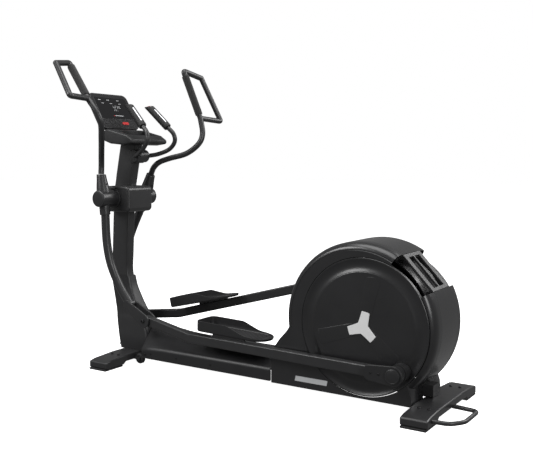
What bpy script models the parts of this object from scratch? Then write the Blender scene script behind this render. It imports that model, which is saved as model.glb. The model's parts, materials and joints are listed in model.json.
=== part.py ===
"""Rear-drive elliptical trainer, modelled piece by piece.

Frame: metres, +Z up, floor at z = 0, +X towards the drive housing at the rear,
-Y on the machine's left side. The origin is on the floor below the middle of
the bounding box.
"""
from math import acos, atan2, cos, hypot, pi, radians, sin

import bmesh
import bpy
from mathutils import Matrix, Vector

GAP = 0.0003               # between pieces that touch

# Driving dimensions ---------------------------------------------------------
AXLE_X, AXLE_Z = 0.6496, 0.384      # crank axle
CRANK_R = 0.264                     # axle to pedal bar pin
CRANK_REST = radians(-42.5)         # left crank, from +X
HUB_X, HUB_Z = AXLE_X - 1.625, 0.931   # swing arm axis
ARM_LENGTH = 0.727                  # hub to front pivot
BAR_LENGTH = 1.5455                 # front pivot to crank pin

DISC_R, DISC_FACE_Y = 0.322, 0.184
HOUSING_X, HOUSING_Z, HOUSING_R = AXLE_X - 0.035, 0.390, 0.385
HOUSING_SIDE_Y, CROWN_HALF_Y = 0.181, 0.100
COVER_FRONT_X = AXLE_X - 1.378
SEAM_X = AXLE_X - 0.500
COVER_BOTTOM_Z = 0.047

FRONT_FOOT_X = (AXLE_X - 1.577, AXLE_X - 1.447)
REAR_FOOT_X = (AXLE_X + 0.245, AXLE_X + 0.374)
FRONT_FOOT_HALF_Y, REAR_FOOT_HALF_Y = 0.368, 0.328
FOOT_PAD_T = 0.010
RAIL_BOTTOM_Z, RAIL_TOP_Z, RAIL_HALF_Y = 0.0625, 0.120, 0.040

SHAFT_R = 0.0125
BARREL_R = 0.047
BARREL_INNER_Y, BARREL_OUTER_Y = 0.1005, 0.224
TUBE_R, LOWER_TUBE_R = 0.0165, 0.024
GRIP_R = 0.0215

BAR_WIDTH, BAR_DEPTH = 0.042, 0.050
BAR_Y_PIN, BAR_Y_BEND, BAR_Y_FRONT = 0.250, 0.172, 0.142
BAR_BEND_BACK = 0.335               # front pivot to the bend, along the bar
PIVOT_PIN_R = 0.008
CRANK_BOSS_R = 0.042
BOSS_OUTER_Y = BAR_Y_PIN - BAR_WIDTH / 2 - 0.0015

PULLEY_R, SMALL_PULLEY_R = 0.120, 0.030
BELT_Y, BELT_WIDTH, BELT_T = 0.095, 0.012, 0.002
FLYWHEEL_X, FLYWHEEL_Z, FLYWHEEL_R = AXLE_X - 0.215, 0.270, 0.120
PLATE_Y, PLATE_T = 0.060, 0.005

WHEEL_X, WHEEL_Z, WHEEL_R, WHEEL_Y = AXLE_X - 1.4135, 0.029, 0.0285, 0.125

SIDES = (("left", -1), ("right", 1))


# Shape helpers --------------------------------------------------------------
def clear_scene():
    for item in list(bpy.data.objects):
        bpy.data.objects.remove(item, do_unlink=True)


def material(name, color, rough, metal=0.0):
    mat = bpy.data.materials.new(name)
    mat.use_nodes = True
    shader = mat.node_tree.nodes["Principled BSDF"]
    shader.inputs["Base Color"].default_value = (*color, 1.0)
    shader.inputs["Roughness"].default_value = rough
    shader.inputs["Metallic"].default_value = metal
    return mat


def new_object(name, bm, mat=None, smooth=30):
    """Turn a bmesh into a named object with outward faces."""
    bmesh.ops.remove_doubles(bm, verts=bm.verts, dist=1e-6)
    bmesh.ops.recalc_face_normals(bm, faces=bm.faces)
    mesh = bpy.data.meshes.new(name)
    bm.to_mesh(mesh)
    bm.free()
    obj = bpy.data.objects.new(name, mesh)
    bpy.context.scene.collection.objects.link(obj)
    if mat:
        mesh.materials.append(mat)
    mesh.shade_smooth()
    mesh.set_sharp_from_angle(angle=radians(smooth))
    return obj


def settle(obj):
    """Replace an object's mesh by what its modifiers make."""
    graph = bpy.context.evaluated_depsgraph_get()
    mesh = bpy.data.meshes.new_from_object(obj.evaluated_get(graph))
    obj.modifiers.clear()
    obj.data = mesh
    return obj


def combine(obj, others, operation):
    for other in others:
        mod = obj.modifiers.new("combine", "BOOLEAN")
        mod.operation = operation
        mod.object = other
        mod.solver = "EXACT"
        settle(obj)
        bpy.data.objects.remove(other, do_unlink=True)
    return obj


def weld(obj, *others):
    return combine(obj, others, "UNION")


def cut(obj, *others):
    return combine(obj, others, "DIFFERENCE")


def bevelled(obj, width, segments=1, angle=35):
    mod = obj.modifiers.new("bevel", "BEVEL")
    mod.width = width
    mod.segments = segments
    mod.limit_method = "ANGLE"
    mod.angle_limit = radians(angle)
    return settle(obj)


def mirrored(obj, name):
    """A copy of an object for the machine's other side."""
    bm = bmesh.new()
    bm.from_mesh(obj.data)
    bmesh.ops.scale(bm, vec=(1, -1, 1), verts=bm.verts)
    return new_object(name, bm, obj.data.materials[0])


def loft(name, rings, mat=None, closed=False):
    """Skin rings of equally many points; ends are capped unless closed."""
    bm = bmesh.new()
    loops = [[bm.verts.new(p) for p in ring] for ring in rings]
    pairs = list(zip(loops, loops[1:]))
    if closed:
        pairs.append((loops[-1], loops[0]))
    for low, high in pairs:
        count = len(low)
        for i in range(count):
            j = (i + 1) % count
            bm.faces.new((low[i], low[j], high[j], high[i]))
    if not closed:
        bm.faces.new(loops[0])
        bm.faces.new(loops[-1])
    return new_object(name, bm, mat)


def prism_y(name, outline, y0, y1, mat=None):
    """Extrude an (x, z) outline between two y values."""
    return loft(name, [[(x, y, z) for x, z in outline] for y in (y0, y1)], mat)


def prism_x(name, outline, x0, x1, mat=None):
    """Extrude a (y, z) outline between two x values."""
    return loft(name, [[(x, y, z) for y, z in outline] for x in (x0, x1)], mat)


def prism_z(name, outline, z0, z1, mat=None):
    """Extrude an (x, y) outline between two z values."""
    return loft(name, [[(x, y, z) for x, y in outline] for z in (z0, z1)], mat)


def block(name, x, y, z, mat=None, bevel=0.0):
    outline = ((x[0], z[0]), (x[1], z[0]), (x[1], z[1]), (x[0], z[1]))
    obj = prism_y(name, outline, y[0], y[1], mat)
    return bevelled(obj, bevel) if bevel else obj


def circle(cx, cz, r, count=24, start=0.0, turn=2 * pi):
    step = turn / (count if turn == 2 * pi else count - 1)
    return [(cx + r * cos(start + i * step), cz + r * sin(start + i * step)) for i in range(count)]


def disc_y(name, cx, cz, r, y0, y1, mat=None, count=24):
    return prism_y(name, circle(cx, cz, r, count), y0, y1, mat)


def turned_y(name, cx, cz, profile, mat=None, count=32):
    """Turn a closed (radius, y) profile that stays off the axis around +Y."""
    rings = []
    for i in range(count):
        a = 2 * pi * i / count
        rings.append([(cx + r * cos(a), y, cz + r * sin(a)) for r, y in profile])
    return loft(name, rings, mat, closed=True)


def smooth_path(points, steps=4):
    """Points along a Catmull-Rom curve through the given points."""
    pts = [Vector(p) for p in points]
    pts = [2 * pts[0] - pts[1], *pts, 2 * pts[-1] - pts[-2]]
    path = []
    for a, b, c, d in zip(pts, pts[1:], pts[2:], pts[3:]):
        for i in range(steps):
            t = i / steps
            path.append(0.5 * (2 * b + (c - a) * t + (2 * a - 5 * b + 4 * c - d) * t * t
                               + (3 * b - a - 3 * c + d) * t ** 3))
    path.append(pts[-2])
    return path


def rounded_corners(points, radius, steps=4):
    """A polyline whose inner corners are rounded with an even bend."""
    pts = [Vector(p) for p in points]
    path = [pts[0]]
    for before, corner, after in zip(pts, pts[1:], pts[2:]):
        into = (corner - before).normalized()
        out = (after - corner).normalized()
        start, end = corner - into * radius, corner + out * radius
        for i in range(steps + 1):
            t = i / steps
            path.append((1 - t) ** 2 * start + 2 * t * (1 - t) * corner + t * t * end)
    path.append(pts[-1])
    return path


def sweep(name, path, section, mat=None, up=(0, 1, 0)):
    """Sweep an (a, b) section along a path; b runs along the `up` direction."""
    path = [Vector(p) for p in path]
    up = Vector(up)
    rings = []
    for i, point in enumerate(path):
        tangent = (path[min(i + 1, len(path) - 1)] - path[max(i - 1, 0)]).normalized()
        b = (up - tangent * up.dot(tangent)).normalized()
        a = b.cross(tangent)
        rings.append([point + a * u + b * v for u, v in section])
    return loft(name, rings, mat)


def round_section(r, count=10):
    return circle(0, 0, r, count)


def tube(name, path, r, mat=None, count=10, up=(0, 1, 0)):
    return sweep(name, path, round_section(r, count), mat, up)


def rounded_box(hx, hy, r, cx=0.0, cy=0.0, steps=3):
    """Corner-rounded rectangle outline around (cx, cy)."""
    points = []
    corners = ((hx - r, hy - r, 0), (r - hx, hy - r, 1), (r - hx, r - hy, 2), (hx - r, r - hy, 3))
    for px, py, quarter in corners:
        points += [(cx + px + x, cy + py + y)
                   for x, y in circle(0, 0, r, steps, quarter * pi / 2, pi / 2)]
    return points


def stadium(x0, z0, r0, x1, z1, r1, steps=9):
    """Outline round two circles joined by their outer tangents."""
    length = hypot(x1 - x0, z1 - z0)
    heading = atan2(z1 - z0, x1 - x0)
    spread = acos((r0 - r1) / length)
    far = circle(x1, z1, r1, steps, heading - spread, 2 * spread)
    near = circle(x0, z0, r0, steps, heading + spread, 2 * (pi - spread))
    return far + near


def meet(x0, z0, r0, x1, z1, r1):
    """The lower of the two points at r0 from the first and r1 from the second."""
    dx, dz = x1 - x0, z1 - z0
    d = hypot(dx, dz)
    a = (d * d + r0 * r0 - r1 * r1) / (2 * d)
    h = (r0 * r0 - a * a) ** 0.5
    return x0 + a * dx / d + h * dz / d, z0 + a * dz / d - h * dx / d


def place(obj, x, z, turn=0.0):
    """Set a piece modelled round a pivot at the origin into the machine."""
    obj.location = (x, 0, z)
    obj.rotation_euler = (0, turn, 0)
    return obj


def set_origin(obj, x, z):
    """Move an object's origin onto a pivot without moving its shape."""
    obj.data.transform(Matrix.Translation((-x, 0, -z)))
    obj.location = (x, 0, z)
    return obj


# Linkage at rest --------------------------------------------------------------
def crank_pin(side):
    angle = CRANK_REST if side < 0 else CRANK_REST + pi
    return AXLE_X + CRANK_R * cos(angle), AXLE_Z + CRANK_R * sin(angle)


def front_pivot(side):
    return meet(HUB_X, HUB_Z, ARM_LENGTH, *crank_pin(side), BAR_LENGTH)


def arm_angle(side):
    """Angle of the hub to pivot line, from straight down towards the rear."""
    x, z = front_pivot(side)
    return atan2(x - HUB_X, HUB_Z - z)


def bar_angle(side):
    """Slope of the front pivot to crank pin line, up to the rear."""
    (fx, fz), (px, pz) = front_pivot(side), crank_pin(side)
    return atan2(pz - fz, px - fx)


# Materials --------------------------------------------------------------------
STEEL = material("powder_coat", (0.018, 0.018, 0.020), 0.42)
PLASTIC = material("black_plastic", (0.014, 0.014, 0.015), 0.50)
GLOSS = material("gloss_plastic", (0.010, 0.010, 0.011), 0.16)
FOAM = material("grip_foam", (0.012, 0.012, 0.012), 0.85)
RUBBER = material("rubber", (0.012, 0.012, 0.013), 0.80)
ZINC = material("zinc", (0.55, 0.56, 0.58), 0.35, 1.0)
CAST = material("cast_iron", (0.16, 0.16, 0.17), 0.55, 0.8)
PALE = material("pale_plastic", (0.80, 0.80, 0.80), 0.40)
RED = material("red_plastic", (0.55, 0.03, 0.03), 0.35)
GLASS = material("display_glass", (0.004, 0.004, 0.005), 0.08)
SILVER = material("silver_trim", (0.60, 0.61, 0.63), 0.25, 1.0)


# Frame --------------------------------------------------------------------------
def foot(name, x, half, mat):
    end_z, shoulder_z, top_z, arch_z = 0.046, 0.054, 0.062, 0.024
    side = [(half - 0.006, FOOT_PAD_T), (half - 0.006, end_z), (half - 0.045, shoulder_z),
            (half * 0.5, top_z)]
    under = [(-half * 0.55, arch_z), (half * 0.55, arch_z), (half * 0.6, FOOT_PAD_T)]
    outline = under + side + [(-y, z) for y, z in reversed(side)] + [(-half * 0.6, FOOT_PAD_T)]
    return bevelled(prism_x(name, outline, x[0], x[1], mat), 0.005, 1, 60)


def foot_caps(name, x, half, mat):
    for side, s in SIDES:
        y = sorted((s * half * 0.62, s * half))
        block(name + "_" + side, (x[0] + 0.004, x[1] - 0.004), y, (0, FOOT_PAD_T - GAP), mat, 0.002)


def base_rail():
    outline = rounded_box(RAIL_HALF_Y, (RAIL_TOP_Z - RAIL_BOTTOM_Z) / 2, 0.006, 0,
                          (RAIL_TOP_Z + RAIL_BOTTOM_Z) / 2)
    return prism_x("base_rail", outline, AXLE_X - 1.590, AXLE_X + 0.290, STEEL)


def feet():
    foot("front_foot", FRONT_FOOT_X, FRONT_FOOT_HALF_Y, STEEL)
    foot("rear_foot", REAR_FOOT_X, REAR_FOOT_HALF_Y, STEEL)
    foot_caps("front_foot_cap", FRONT_FOOT_X, FRONT_FOOT_HALF_Y, RUBBER)
    foot_caps("rear_foot_cap", REAR_FOOT_X, REAR_FOOT_HALF_Y, RUBBER)


def rear_lift_handle():
    x, z = REAR_FOOT_X[1] + 0.0013, 0.034
    corners = ((x, -0.268, z), (x + 0.075, -0.262, z), (x + 0.122, -0.200, z),
               (x + 0.122, -0.030, z), (x, -0.015, z))
    tube("rear_lift_handle", rounded_corners(corners, 0.028), 0.010, STEEL, 10, (0, 0, 1))


def wheel_bracket():
    """Strip on the front foot's rear face with a fork and pin for each wheel."""
    x = FRONT_FOOT_X[1] + GAP
    strip = block("wheel_bracket", (x, x + 0.0025), (-WHEEL_Y - 0.020, WHEEL_Y + 0.020), (0.026, 0.042), STEEL)
    parts = []
    for _, s in SIDES:
        y = s * WHEEL_Y
        for off in (-0.0165, 0.0165):
            outline = stadium(WHEEL_X, WHEEL_Z, 0.010, x + 0.0085, 0.034, 0.0075, 6)
            parts.append(prism_y("cheek", outline, y + off - 0.0015, y + off + 0.0015))
        parts.append(disc_y("pin", WHEEL_X, WHEEL_Z, 0.004, y - 0.016, y + 0.016, None, 12))
    return weld(strip, *parts)


def transport_wheels():
    for side, s in SIDES:
        y = s * WHEEL_Y
        profile = [(0.0045, y - 0.013), (0.0045, y + 0.013), (0.020, y + 0.013), (WHEEL_R, y + 0.009),
                   (WHEEL_R, y - 0.009), (0.020, y - 0.013)]
        wheel = turned_y("transport_wheel_" + side, WHEEL_X, WHEEL_Z, profile, RUBBER, 24)
        set_origin(wheel, WHEEL_X, WHEEL_Z)


MAST_LINE = ((-1.540, RAIL_TOP_Z + GAP), (-1.572, 0.190), (-1.597, 0.280), (-1.632, 0.400), (-1.655, 0.500),
             (-1.650, 0.620), (-1.632, 0.931), (-1.622, 1.000), (-1.589, 1.160), (-1.561, 1.290))
MAST_HALF_X, MAST_HALF_Y = 0.062, 0.030


def mast_shape(name, grow=0.0, mat=None):
    rings = []
    for x, z in MAST_LINE:
        outline = rounded_box(MAST_HALF_X + grow, MAST_HALF_Y + grow, 0.012 + grow, AXLE_X + x, 0)
        rings.append([(px, py, z) for px, py in outline])
    return loft(name, rings, mat)


def mast():
    return cut(mast_shape("mast", 0.0, STEEL),
               disc_y("bore", HUB_X, HUB_Z, SHAFT_R + GAP, -0.05, 0.05))


def mast_boot():
    # z, front x, rear x, half width
    stations = ((RAIL_BOTTOM_Z, -1.606, -1.3785, 0.092), (0.120, -1.622, -1.385, 0.088),
                (0.180, -1.642, -1.405, 0.076), (0.230, -1.657, -1.450, 0.066), (0.280, -1.670, -1.500, 0.056),
                (0.400, -1.706, -1.557, 0.042), (0.473, -1.725, -1.5775, 0.039))

    def skin(name, inset, ends, mat=None):
        rings = []
        for i, (z, front, rear, half) in enumerate(stations):
            middle, hx = (front + rear) / 2, (rear - front) / 2 - inset
            outline = rounded_box(hx, half - inset, min(0.024, half - inset - 0.004), AXLE_X + middle, 0, 4)
            dz = ends if i in (0, len(stations) - 1) else 0
            rings.append([(x, y, z + (dz if i else -dz)) for x, y in outline])
        return loft(name, rings, mat)

    return cut(skin("mast_boot", 0, 0, PLASTIC), skin("inside", 0.003, 0.01), rail_channel())


def base_cover(side, s):
    # x, side height, ridge height, ridge half width
    stations = ((COVER_FRONT_X, 0.095, 0.205, 0.080), (AXLE_X - 1.290, 0.110, 0.188, 0.092),
                (AXLE_X - 1.080, 0.115, 0.168, 0.105), (SEAM_X - 0.0005, 0.115, 0.165, 0.110))

    def skin(name, inset, reach, floor, mat=None):
        rings = []
        for i, (x, side_z, ridge_z, ridge_y) in enumerate(stations):
            half = HOUSING_SIDE_Y - inset - (0.020 if i == 0 else 0)
            ring = [(s * GAP / 2, floor), (s * half, floor), (s * half, side_z - inset / 2),
                    (s * (ridge_y - inset / 2), ridge_z - 0.010 - inset), (s * (ridge_y - 0.025), ridge_z - inset),
                    (s * GAP / 2, ridge_z - inset)]
            dx = {0: 0.003, len(stations) - 1: reach}.get(i, 0) if inset else 0
            rings.append([(x + dx, y, z) for y, z in ring])
        return loft(name, rings, mat)

    inner = skin("inside", 0.003, 0.02, COVER_BOTTOM_Z - 0.02)
    for vert in inner.data.vertices:
        if abs(vert.co.y) < GAP:
            vert.co.y = -s * 0.01
    return cut(skin("base_cover_" + side, 0, 0, COVER_BOTTOM_Z, PLASTIC), inner, rail_channel())


def rail_channel():
    """Cutter that clears the base rail."""
    return block("channel", (AXLE_X - 1.7, AXLE_X + 0.5), (-RAIL_HALF_Y - 0.001, RAIL_HALF_Y + 0.001),
                 (0.0, RAIL_TOP_Z + 0.001))


# Drive housing --------------------------------------------------------------------
NOTCH = (radians(27), radians(60))      # where the carry handle spans the crown
NOTCH_FLOOR_R = 0.338


def housing_outline(inset, wall=0.0, floor=0.0):
    arc = circle(HOUSING_X, HOUSING_Z, HOUSING_R - inset - wall, 24, radians(-44), radians(232))
    front = [(SEAM_X + 0.058 + wall, 0.285), (SEAM_X + 0.024 + wall, 0.240), (SEAM_X + wall, 0.222),
             (SEAM_X + wall, COVER_BOTTOM_Z - floor)]
    rear = [(AXLE_X + 0.243 - wall, COVER_BOTTOM_Z - floor), (AXLE_X + 0.240 - wall, 0.090)]
    return arc + front + rear


def notch_cutter(reach):
    inner = circle(HOUSING_X, HOUSING_Z, NOTCH_FLOOR_R, 7, NOTCH[0], NOTCH[1] - NOTCH[0])
    outer = circle(HOUSING_X, HOUSING_Z, HOUSING_R + 0.05, 7, NOTCH[0], NOTCH[1] - NOTCH[0])
    return prism_y("notch", inner + outer[::-1], -reach, reach)


def ring_at(inset, y, wall=0.0, floor=0.0):
    return [(x, y, z) for x, z in housing_outline(inset, wall, floor)]


def drive_covers():
    s = -1
    levels = ((CROWN_HALF_Y + GAP, 0.0), (0.150, 0.004), (0.172, 0.014), (HOUSING_SIDE_Y, 0.034))
    wall = 0.004
    outer = loft("drive_cover_left", [ring_at(inset, s * y) for y, inset in levels], PLASTIC)
    inner_levels = [(y - (0.02 if i == 0 else wall if i == 3 else 0.001), inset)
                    for i, (y, inset) in enumerate(levels)]
    inner = loft("inside", [ring_at(inset, s * y, wall, 0.02) for y, inset in inner_levels])
    hole = disc_y("hole", AXLE_X, AXLE_Z, DISC_R + 0.003, s * 0.16, s * 0.20, None, 40)
    mirrored(cut(outer, notch_cutter(0.3), inner, hole), "drive_cover_right")


def drive_crown():
    half = CROWN_HALF_Y
    outer = loft("drive_crown", [ring_at(0, -half), ring_at(0, half)], GLOSS)
    inner = loft("inside", [ring_at(0, -half - 0.01, 0.004, 0.02), ring_at(0, half + 0.01, 0.004, 0.02)])
    arc = circle(HOUSING_X, HOUSING_Z, NOTCH_FLOOR_R - 0.0005, 9, NOTCH[0] - 0.06, NOTCH[1] - NOTCH[0] + 0.12)
    back = circle(HOUSING_X, HOUSING_Z, NOTCH_FLOOR_R - 0.0045, 9, NOTCH[0] - 0.06, NOTCH[1] - NOTCH[0] + 0.12)
    floor = prism_y("floor", arc + back[::-1], -half, half)
    ends = []
    for angle in (NOTCH[0] - 0.055, NOTCH[1] + 0.055):
        radial = Vector((cos(angle), sin(angle)))
        across = Vector((-sin(angle), cos(angle))) * 0.002
        centre = Vector((HOUSING_X, HOUSING_Z))
        low, high = centre + radial * (NOTCH_FLOOR_R - 0.002), centre + radial * (HOUSING_R - 0.001)
        corners = (low - across, high - across, high + across, low + across)
        ends.append(prism_y("end", [tuple(c) for c in corners], -half, half))
    shell = cut(outer, inner)
    shell = cut(shell, notch_cutter(0.3), rail_channel())
    return weld(shell, floor, *ends)


def carry_handle():
    """Plate with two slots across the notch, resting on its two end walls."""
    start, end = (Vector((cos(a), sin(a))) for a in (NOTCH[0] + 0.0015, NOTCH[1] - 0.0015))
    centre = Vector((HOUSING_X, HOUSING_Z))
    low_in, low_out = centre + start * (HOUSING_R - 0.014), centre + start * (HOUSING_R - 0.002)
    high_in, high_out = centre + end * (HOUSING_R - 0.014), centre + end * (HOUSING_R - 0.002)
    handle = prism_y("carry_handle", (low_in, low_out, high_out, high_in), -0.098, 0.098, PLASTIC)
    along = (high_in - low_in).normalized()
    out = Vector((along.y, -along.x)) * 0.03
    a, b = low_in + along * 0.016, high_in - along * 0.016
    slots = [prism_y("slot", (a - out, a + out, b + out, b - out), *y) for y in ((-0.062, -0.007), (0.007, 0.062))]
    return cut(handle, *slots)


# Drive inside the housing -----------------------------------------------------------
def drive_frame():
    outline = [(AXLE_X - 0.330, RAIL_TOP_Z + GAP), (AXLE_X + 0.060, RAIL_TOP_Z + GAP),
               (AXLE_X + 0.050, AXLE_Z), (AXLE_X + 0.035, AXLE_Z + 0.038), (AXLE_X - 0.035, AXLE_Z + 0.038),
               (FLYWHEEL_X - 0.020, FLYWHEEL_Z + 0.045), (FLYWHEEL_X - 0.060, FLYWHEEL_Z)]
    plates = []
    for _, s in SIDES:
        y = s * PLATE_Y
        plate = prism_y("drive_frame", outline, y - PLATE_T / 2, y + PLATE_T / 2, STEEL)
        plate = cut(plate, disc_y("bore", AXLE_X, AXLE_Z, 0.026 + GAP, y - 0.02, y + 0.02),
                    disc_y("bore", FLYWHEEL_X, FLYWHEEL_Z, 0.0125, y - 0.02, y + 0.02))
        plates.append(plate)
    tie = block("tie", (AXLE_X - 0.330, AXLE_X + 0.060), (-PLATE_Y, PLATE_Y), (RAIL_TOP_Z + GAP, RAIL_TOP_Z + 0.006))
    idler_pin = disc_y("pin", IDLER_X, IDLER_Z, 0.005, PLATE_Y, BELT_Y + 0.010, None, 12)
    lug = block("lug", (IDLER_X - 0.012, IDLER_X + 0.012), (PLATE_Y - 0.002, PLATE_Y + 0.002),
                (RAIL_TOP_Z + GAP, IDLER_Z + 0.010))
    frame = weld(tie, plates[0], plates[1], lug, idler_pin)
    frame.name = "drive_frame"
    frame.data.materials.clear()
    frame.data.materials.append(STEEL)
    return frame


IDLER_R = 0.020
BELT_SLOPE = atan2(AXLE_Z - FLYWHEEL_Z, AXLE_X - FLYWHEEL_X)
BELT_SPREAD = acos((SMALL_PULLEY_R - PULLEY_R) / hypot(AXLE_X - FLYWHEEL_X, AXLE_Z - FLYWHEEL_Z))
IDLER_NORMAL = BELT_SLOPE - BELT_SPREAD
IDLER_X = (FLYWHEEL_X * 0.45 + AXLE_X * 0.55
           + (SMALL_PULLEY_R * 0.45 + PULLEY_R * 0.55 + BELT_T + IDLER_R + 0.001) * cos(IDLER_NORMAL))
IDLER_Z = (FLYWHEEL_Z * 0.45 + AXLE_Z * 0.55
           + (SMALL_PULLEY_R * 0.45 + PULLEY_R * 0.55 + BELT_T + IDLER_R + 0.001) * sin(IDLER_NORMAL))


def crank_bearing():
    """Cartridge through both plates of the drive frame."""
    y = PLATE_Y + 0.008
    profile = [(SHAFT_R + 0.0005, -y), (SHAFT_R + 0.0005, y), (0.026, y), (0.026, -y)]
    turned_y("crank_bearing", AXLE_X, AXLE_Z, profile, ZINC, 24)


def drive_belt():
    y = (BELT_Y - BELT_WIDTH / 2, BELT_Y + BELT_WIDTH / 2)
    rings = []
    for r in (0.0004, BELT_T):
        outline = stadium(FLYWHEEL_X, FLYWHEEL_Z, SMALL_PULLEY_R + r, AXLE_X, AXLE_Z, PULLEY_R + r, 14)
        rings.append([(x, y[0], z) for x, z in outline])
        rings.append([(x, y[1], z) for x, z in outline])
    return loft("drive_belt", [rings[0], rings[1], rings[3], rings[2]], RUBBER, closed=True)


def flywheel():
    r, y1 = FLYWHEEL_R, BELT_Y + BELT_WIDTH / 2 + 0.001
    profile = [(0.0, -0.067), (0.0119, -0.067), (0.0119, -0.012), (0.085, -0.006), (0.092, -0.016), (r, -0.016),
               (r, 0.016), (0.092, 0.016), (0.085, 0.006), (0.0119, 0.012), (0.0119, BELT_Y - 0.009),
               (0.033, BELT_Y - 0.009), (0.033, BELT_Y - 0.007), (SMALL_PULLEY_R, BELT_Y - 0.007),
               (SMALL_PULLEY_R, y1 + 0.0005), (0.012, y1 + 0.0005), (0.0, y1 + 0.0005)]
    return set_origin(solid_turned_y("flywheel", FLYWHEEL_X, FLYWHEEL_Z, profile, CAST, 24), FLYWHEEL_X, FLYWHEEL_Z)


def solid_turned_y(name, cx, cz, profile, mat, count):
    """Turn an open (radius, y) profile whose two ends lie on the axis."""
    bm = bmesh.new()
    first = bm.verts.new((cx, profile[0][1], cz))
    last = bm.verts.new((cx, profile[-1][1], cz))
    rings = []
    for r, y in profile[1:-1]:
        rings.append([bm.verts.new((cx + r * cos(2 * pi * i / count), y, cz + r * sin(2 * pi * i / count)))
                      for i in range(count)])
    for i in range(count):
        j = (i + 1) % count
        bm.faces.new((first, rings[0][i], rings[0][j]))
        bm.faces.new((last, rings[-1][j], rings[-1][i]))
        for low, high in zip(rings, rings[1:]):
            bm.faces.new((low[i], high[i], high[j], low[j]))
    return new_object(name, bm, mat)


def idler_wheel():
    y = BELT_Y
    profile = [(0.0055, y - 0.008), (0.0055, y + 0.008), (IDLER_R, y + 0.008), (IDLER_R, y - 0.008)]
    return set_origin(turned_y("idler_wheel", IDLER_X, IDLER_Z, profile, PLASTIC, 20), IDLER_X, IDLER_Z)


def magnetic_brake():
    x = FLYWHEEL_X - FLYWHEEL_R
    body = block("magnetic_brake", (x - 0.030, x + 0.030), (-0.030, 0.030), (0.225, 0.300), PLASTIC)
    slot = block("slot", (x - 0.012, x + 0.05), (-0.0175, 0.0175), (0.20, 0.33))
    leg = block("leg", (x - 0.030, x - 0.016), (-0.020, 0.020), (RAIL_TOP_Z + 0.0065, 0.23))
    return weld(cut(body, slot), leg)


# Crank set ---------------------------------------------------------------------------
def on_axle(obj):
    return set_origin(obj, AXLE_X, AXLE_Z)


def crank_axle():
    on_axle(disc_y("crank_axle", AXLE_X, AXLE_Z, SHAFT_R, -0.1855, 0.1855, ZINC, 24))


def crank_pulley():
    y = BELT_Y
    r0, r1 = SHAFT_R + GAP, PULLEY_R - 0.0015
    profile = [(r0, y - 0.012), (r0, y + 0.012), (0.034, y + 0.012), (0.034, y + 0.003), (r1 - 0.012, y + 0.003),
               (r1 - 0.012, y + 0.007), (r1, y + 0.007), (r1, y - 0.007), (r1 - 0.012, y - 0.007),
               (r1 - 0.012, y - 0.003), (0.034, y - 0.003), (0.034, y - 0.012)]
    on_axle(turned_y("crank_pulley", AXLE_X, AXLE_Z, profile, PLASTIC, 28))


def crank_disc(side, s):
    face = DISC_FACE_Y
    profile = [(SHAFT_R + 0.001, face - 0.012), (SHAFT_R + 0.001, face), (0.262, face), (0.276, face - 0.008),
               (0.306, face - 0.008), (0.314, face), (DISC_R, face), (DISC_R, face - 0.018), (0.262, face - 0.018)]
    disc = turned_y("crank_disc_" + side, AXLE_X, AXLE_Z, [(r, s * y) for r, y in profile], PLASTIC, 36)
    x, z = crank_pin(s)
    on_axle(cut(disc, disc_y("hole", x, z, CRANK_BOSS_R + 0.0005, s * 0.16, s * 0.20)))


def crank_arm(side, s):
    x, z = crank_pin(s)
    y = sorted((s * (DISC_FACE_Y - 0.036), s * (DISC_FACE_Y - 0.0185)))
    arm = prism_y("crank_arm_" + side, stadium(AXLE_X, AXLE_Z, 0.035, x, z, CRANK_BOSS_R), *y, STEEL)
    boss = disc_y("boss", x, z, CRANK_BOSS_R, s * (DISC_FACE_Y - 0.035), s * BOSS_OUTER_Y)
    arm = cut(weld(arm, boss), disc_y("bore", AXLE_X, AXLE_Z, SHAFT_R + GAP, s * 0.1, s * 0.18))
    on_axle(arm)


def hub_plate(side, s):
    """Three-armed trim plate on the disc's centre."""
    outline = []
    for i in range(3):
        a = CRANK_REST + (pi if s > 0 else 0) + radians(120 * i)
        for da, r in ((-0.264, 0.0767), (0.264, 0.0767), (0.68, 0.038), (1.047, 0.030), (1.414, 0.038)):
            outline.append((AXLE_X + r * cos(a + da), AXLE_Z + r * sin(a + da)))
    y = s * (DISC_FACE_Y + 0.002)
    on_axle(prism_y("hub_plate_" + side, outline, y, y + s * 0.003, PALE))


# Swing arms --------------------------------------------------------------------------
# Points of an arm in its own frame, round the hub, at the left arm's rest angle: (x, |y|, z)
HANDLE_ROOT = (-0.021, 0.173, 0.137)
HANDLE_LINE = (HANDLE_ROOT, (-0.019, 0.172, 0.185), (-0.004, 0.186, 0.229), (0.031, 0.220, 0.273),
               (0.088, 0.276, 0.335), (0.119, 0.310, 0.415), (0.104, 0.328, 0.478), (0.047, 0.331, 0.548))
GRIP_TOP = (-0.152, 0.273, 0.755)
LOOP_TOP = (-0.111, 0.406, 0.739)
LOOP_LOW = (0.081, 0.492, 0.552)
LOWER_LINE = ((0.000, 0.173, -0.030), (0.004, 0.172, -0.077), (0.007, 0.168, -0.237), (0.028, 0.162, -0.365),
              (0.080, 0.153, -0.485), (0.150, 0.145, -0.588))


def sided(points, s):
    return [(x, s * y, z) for x, y, z in points]


def arm_pivot():
    """Front pivot in the arm's own frame."""
    angle = arm_angle(-1)
    return ARM_LENGTH * sin(angle), -ARM_LENGTH * cos(angle)


def arm_turn(s):
    return arm_angle(-1) - arm_angle(s)


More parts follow.
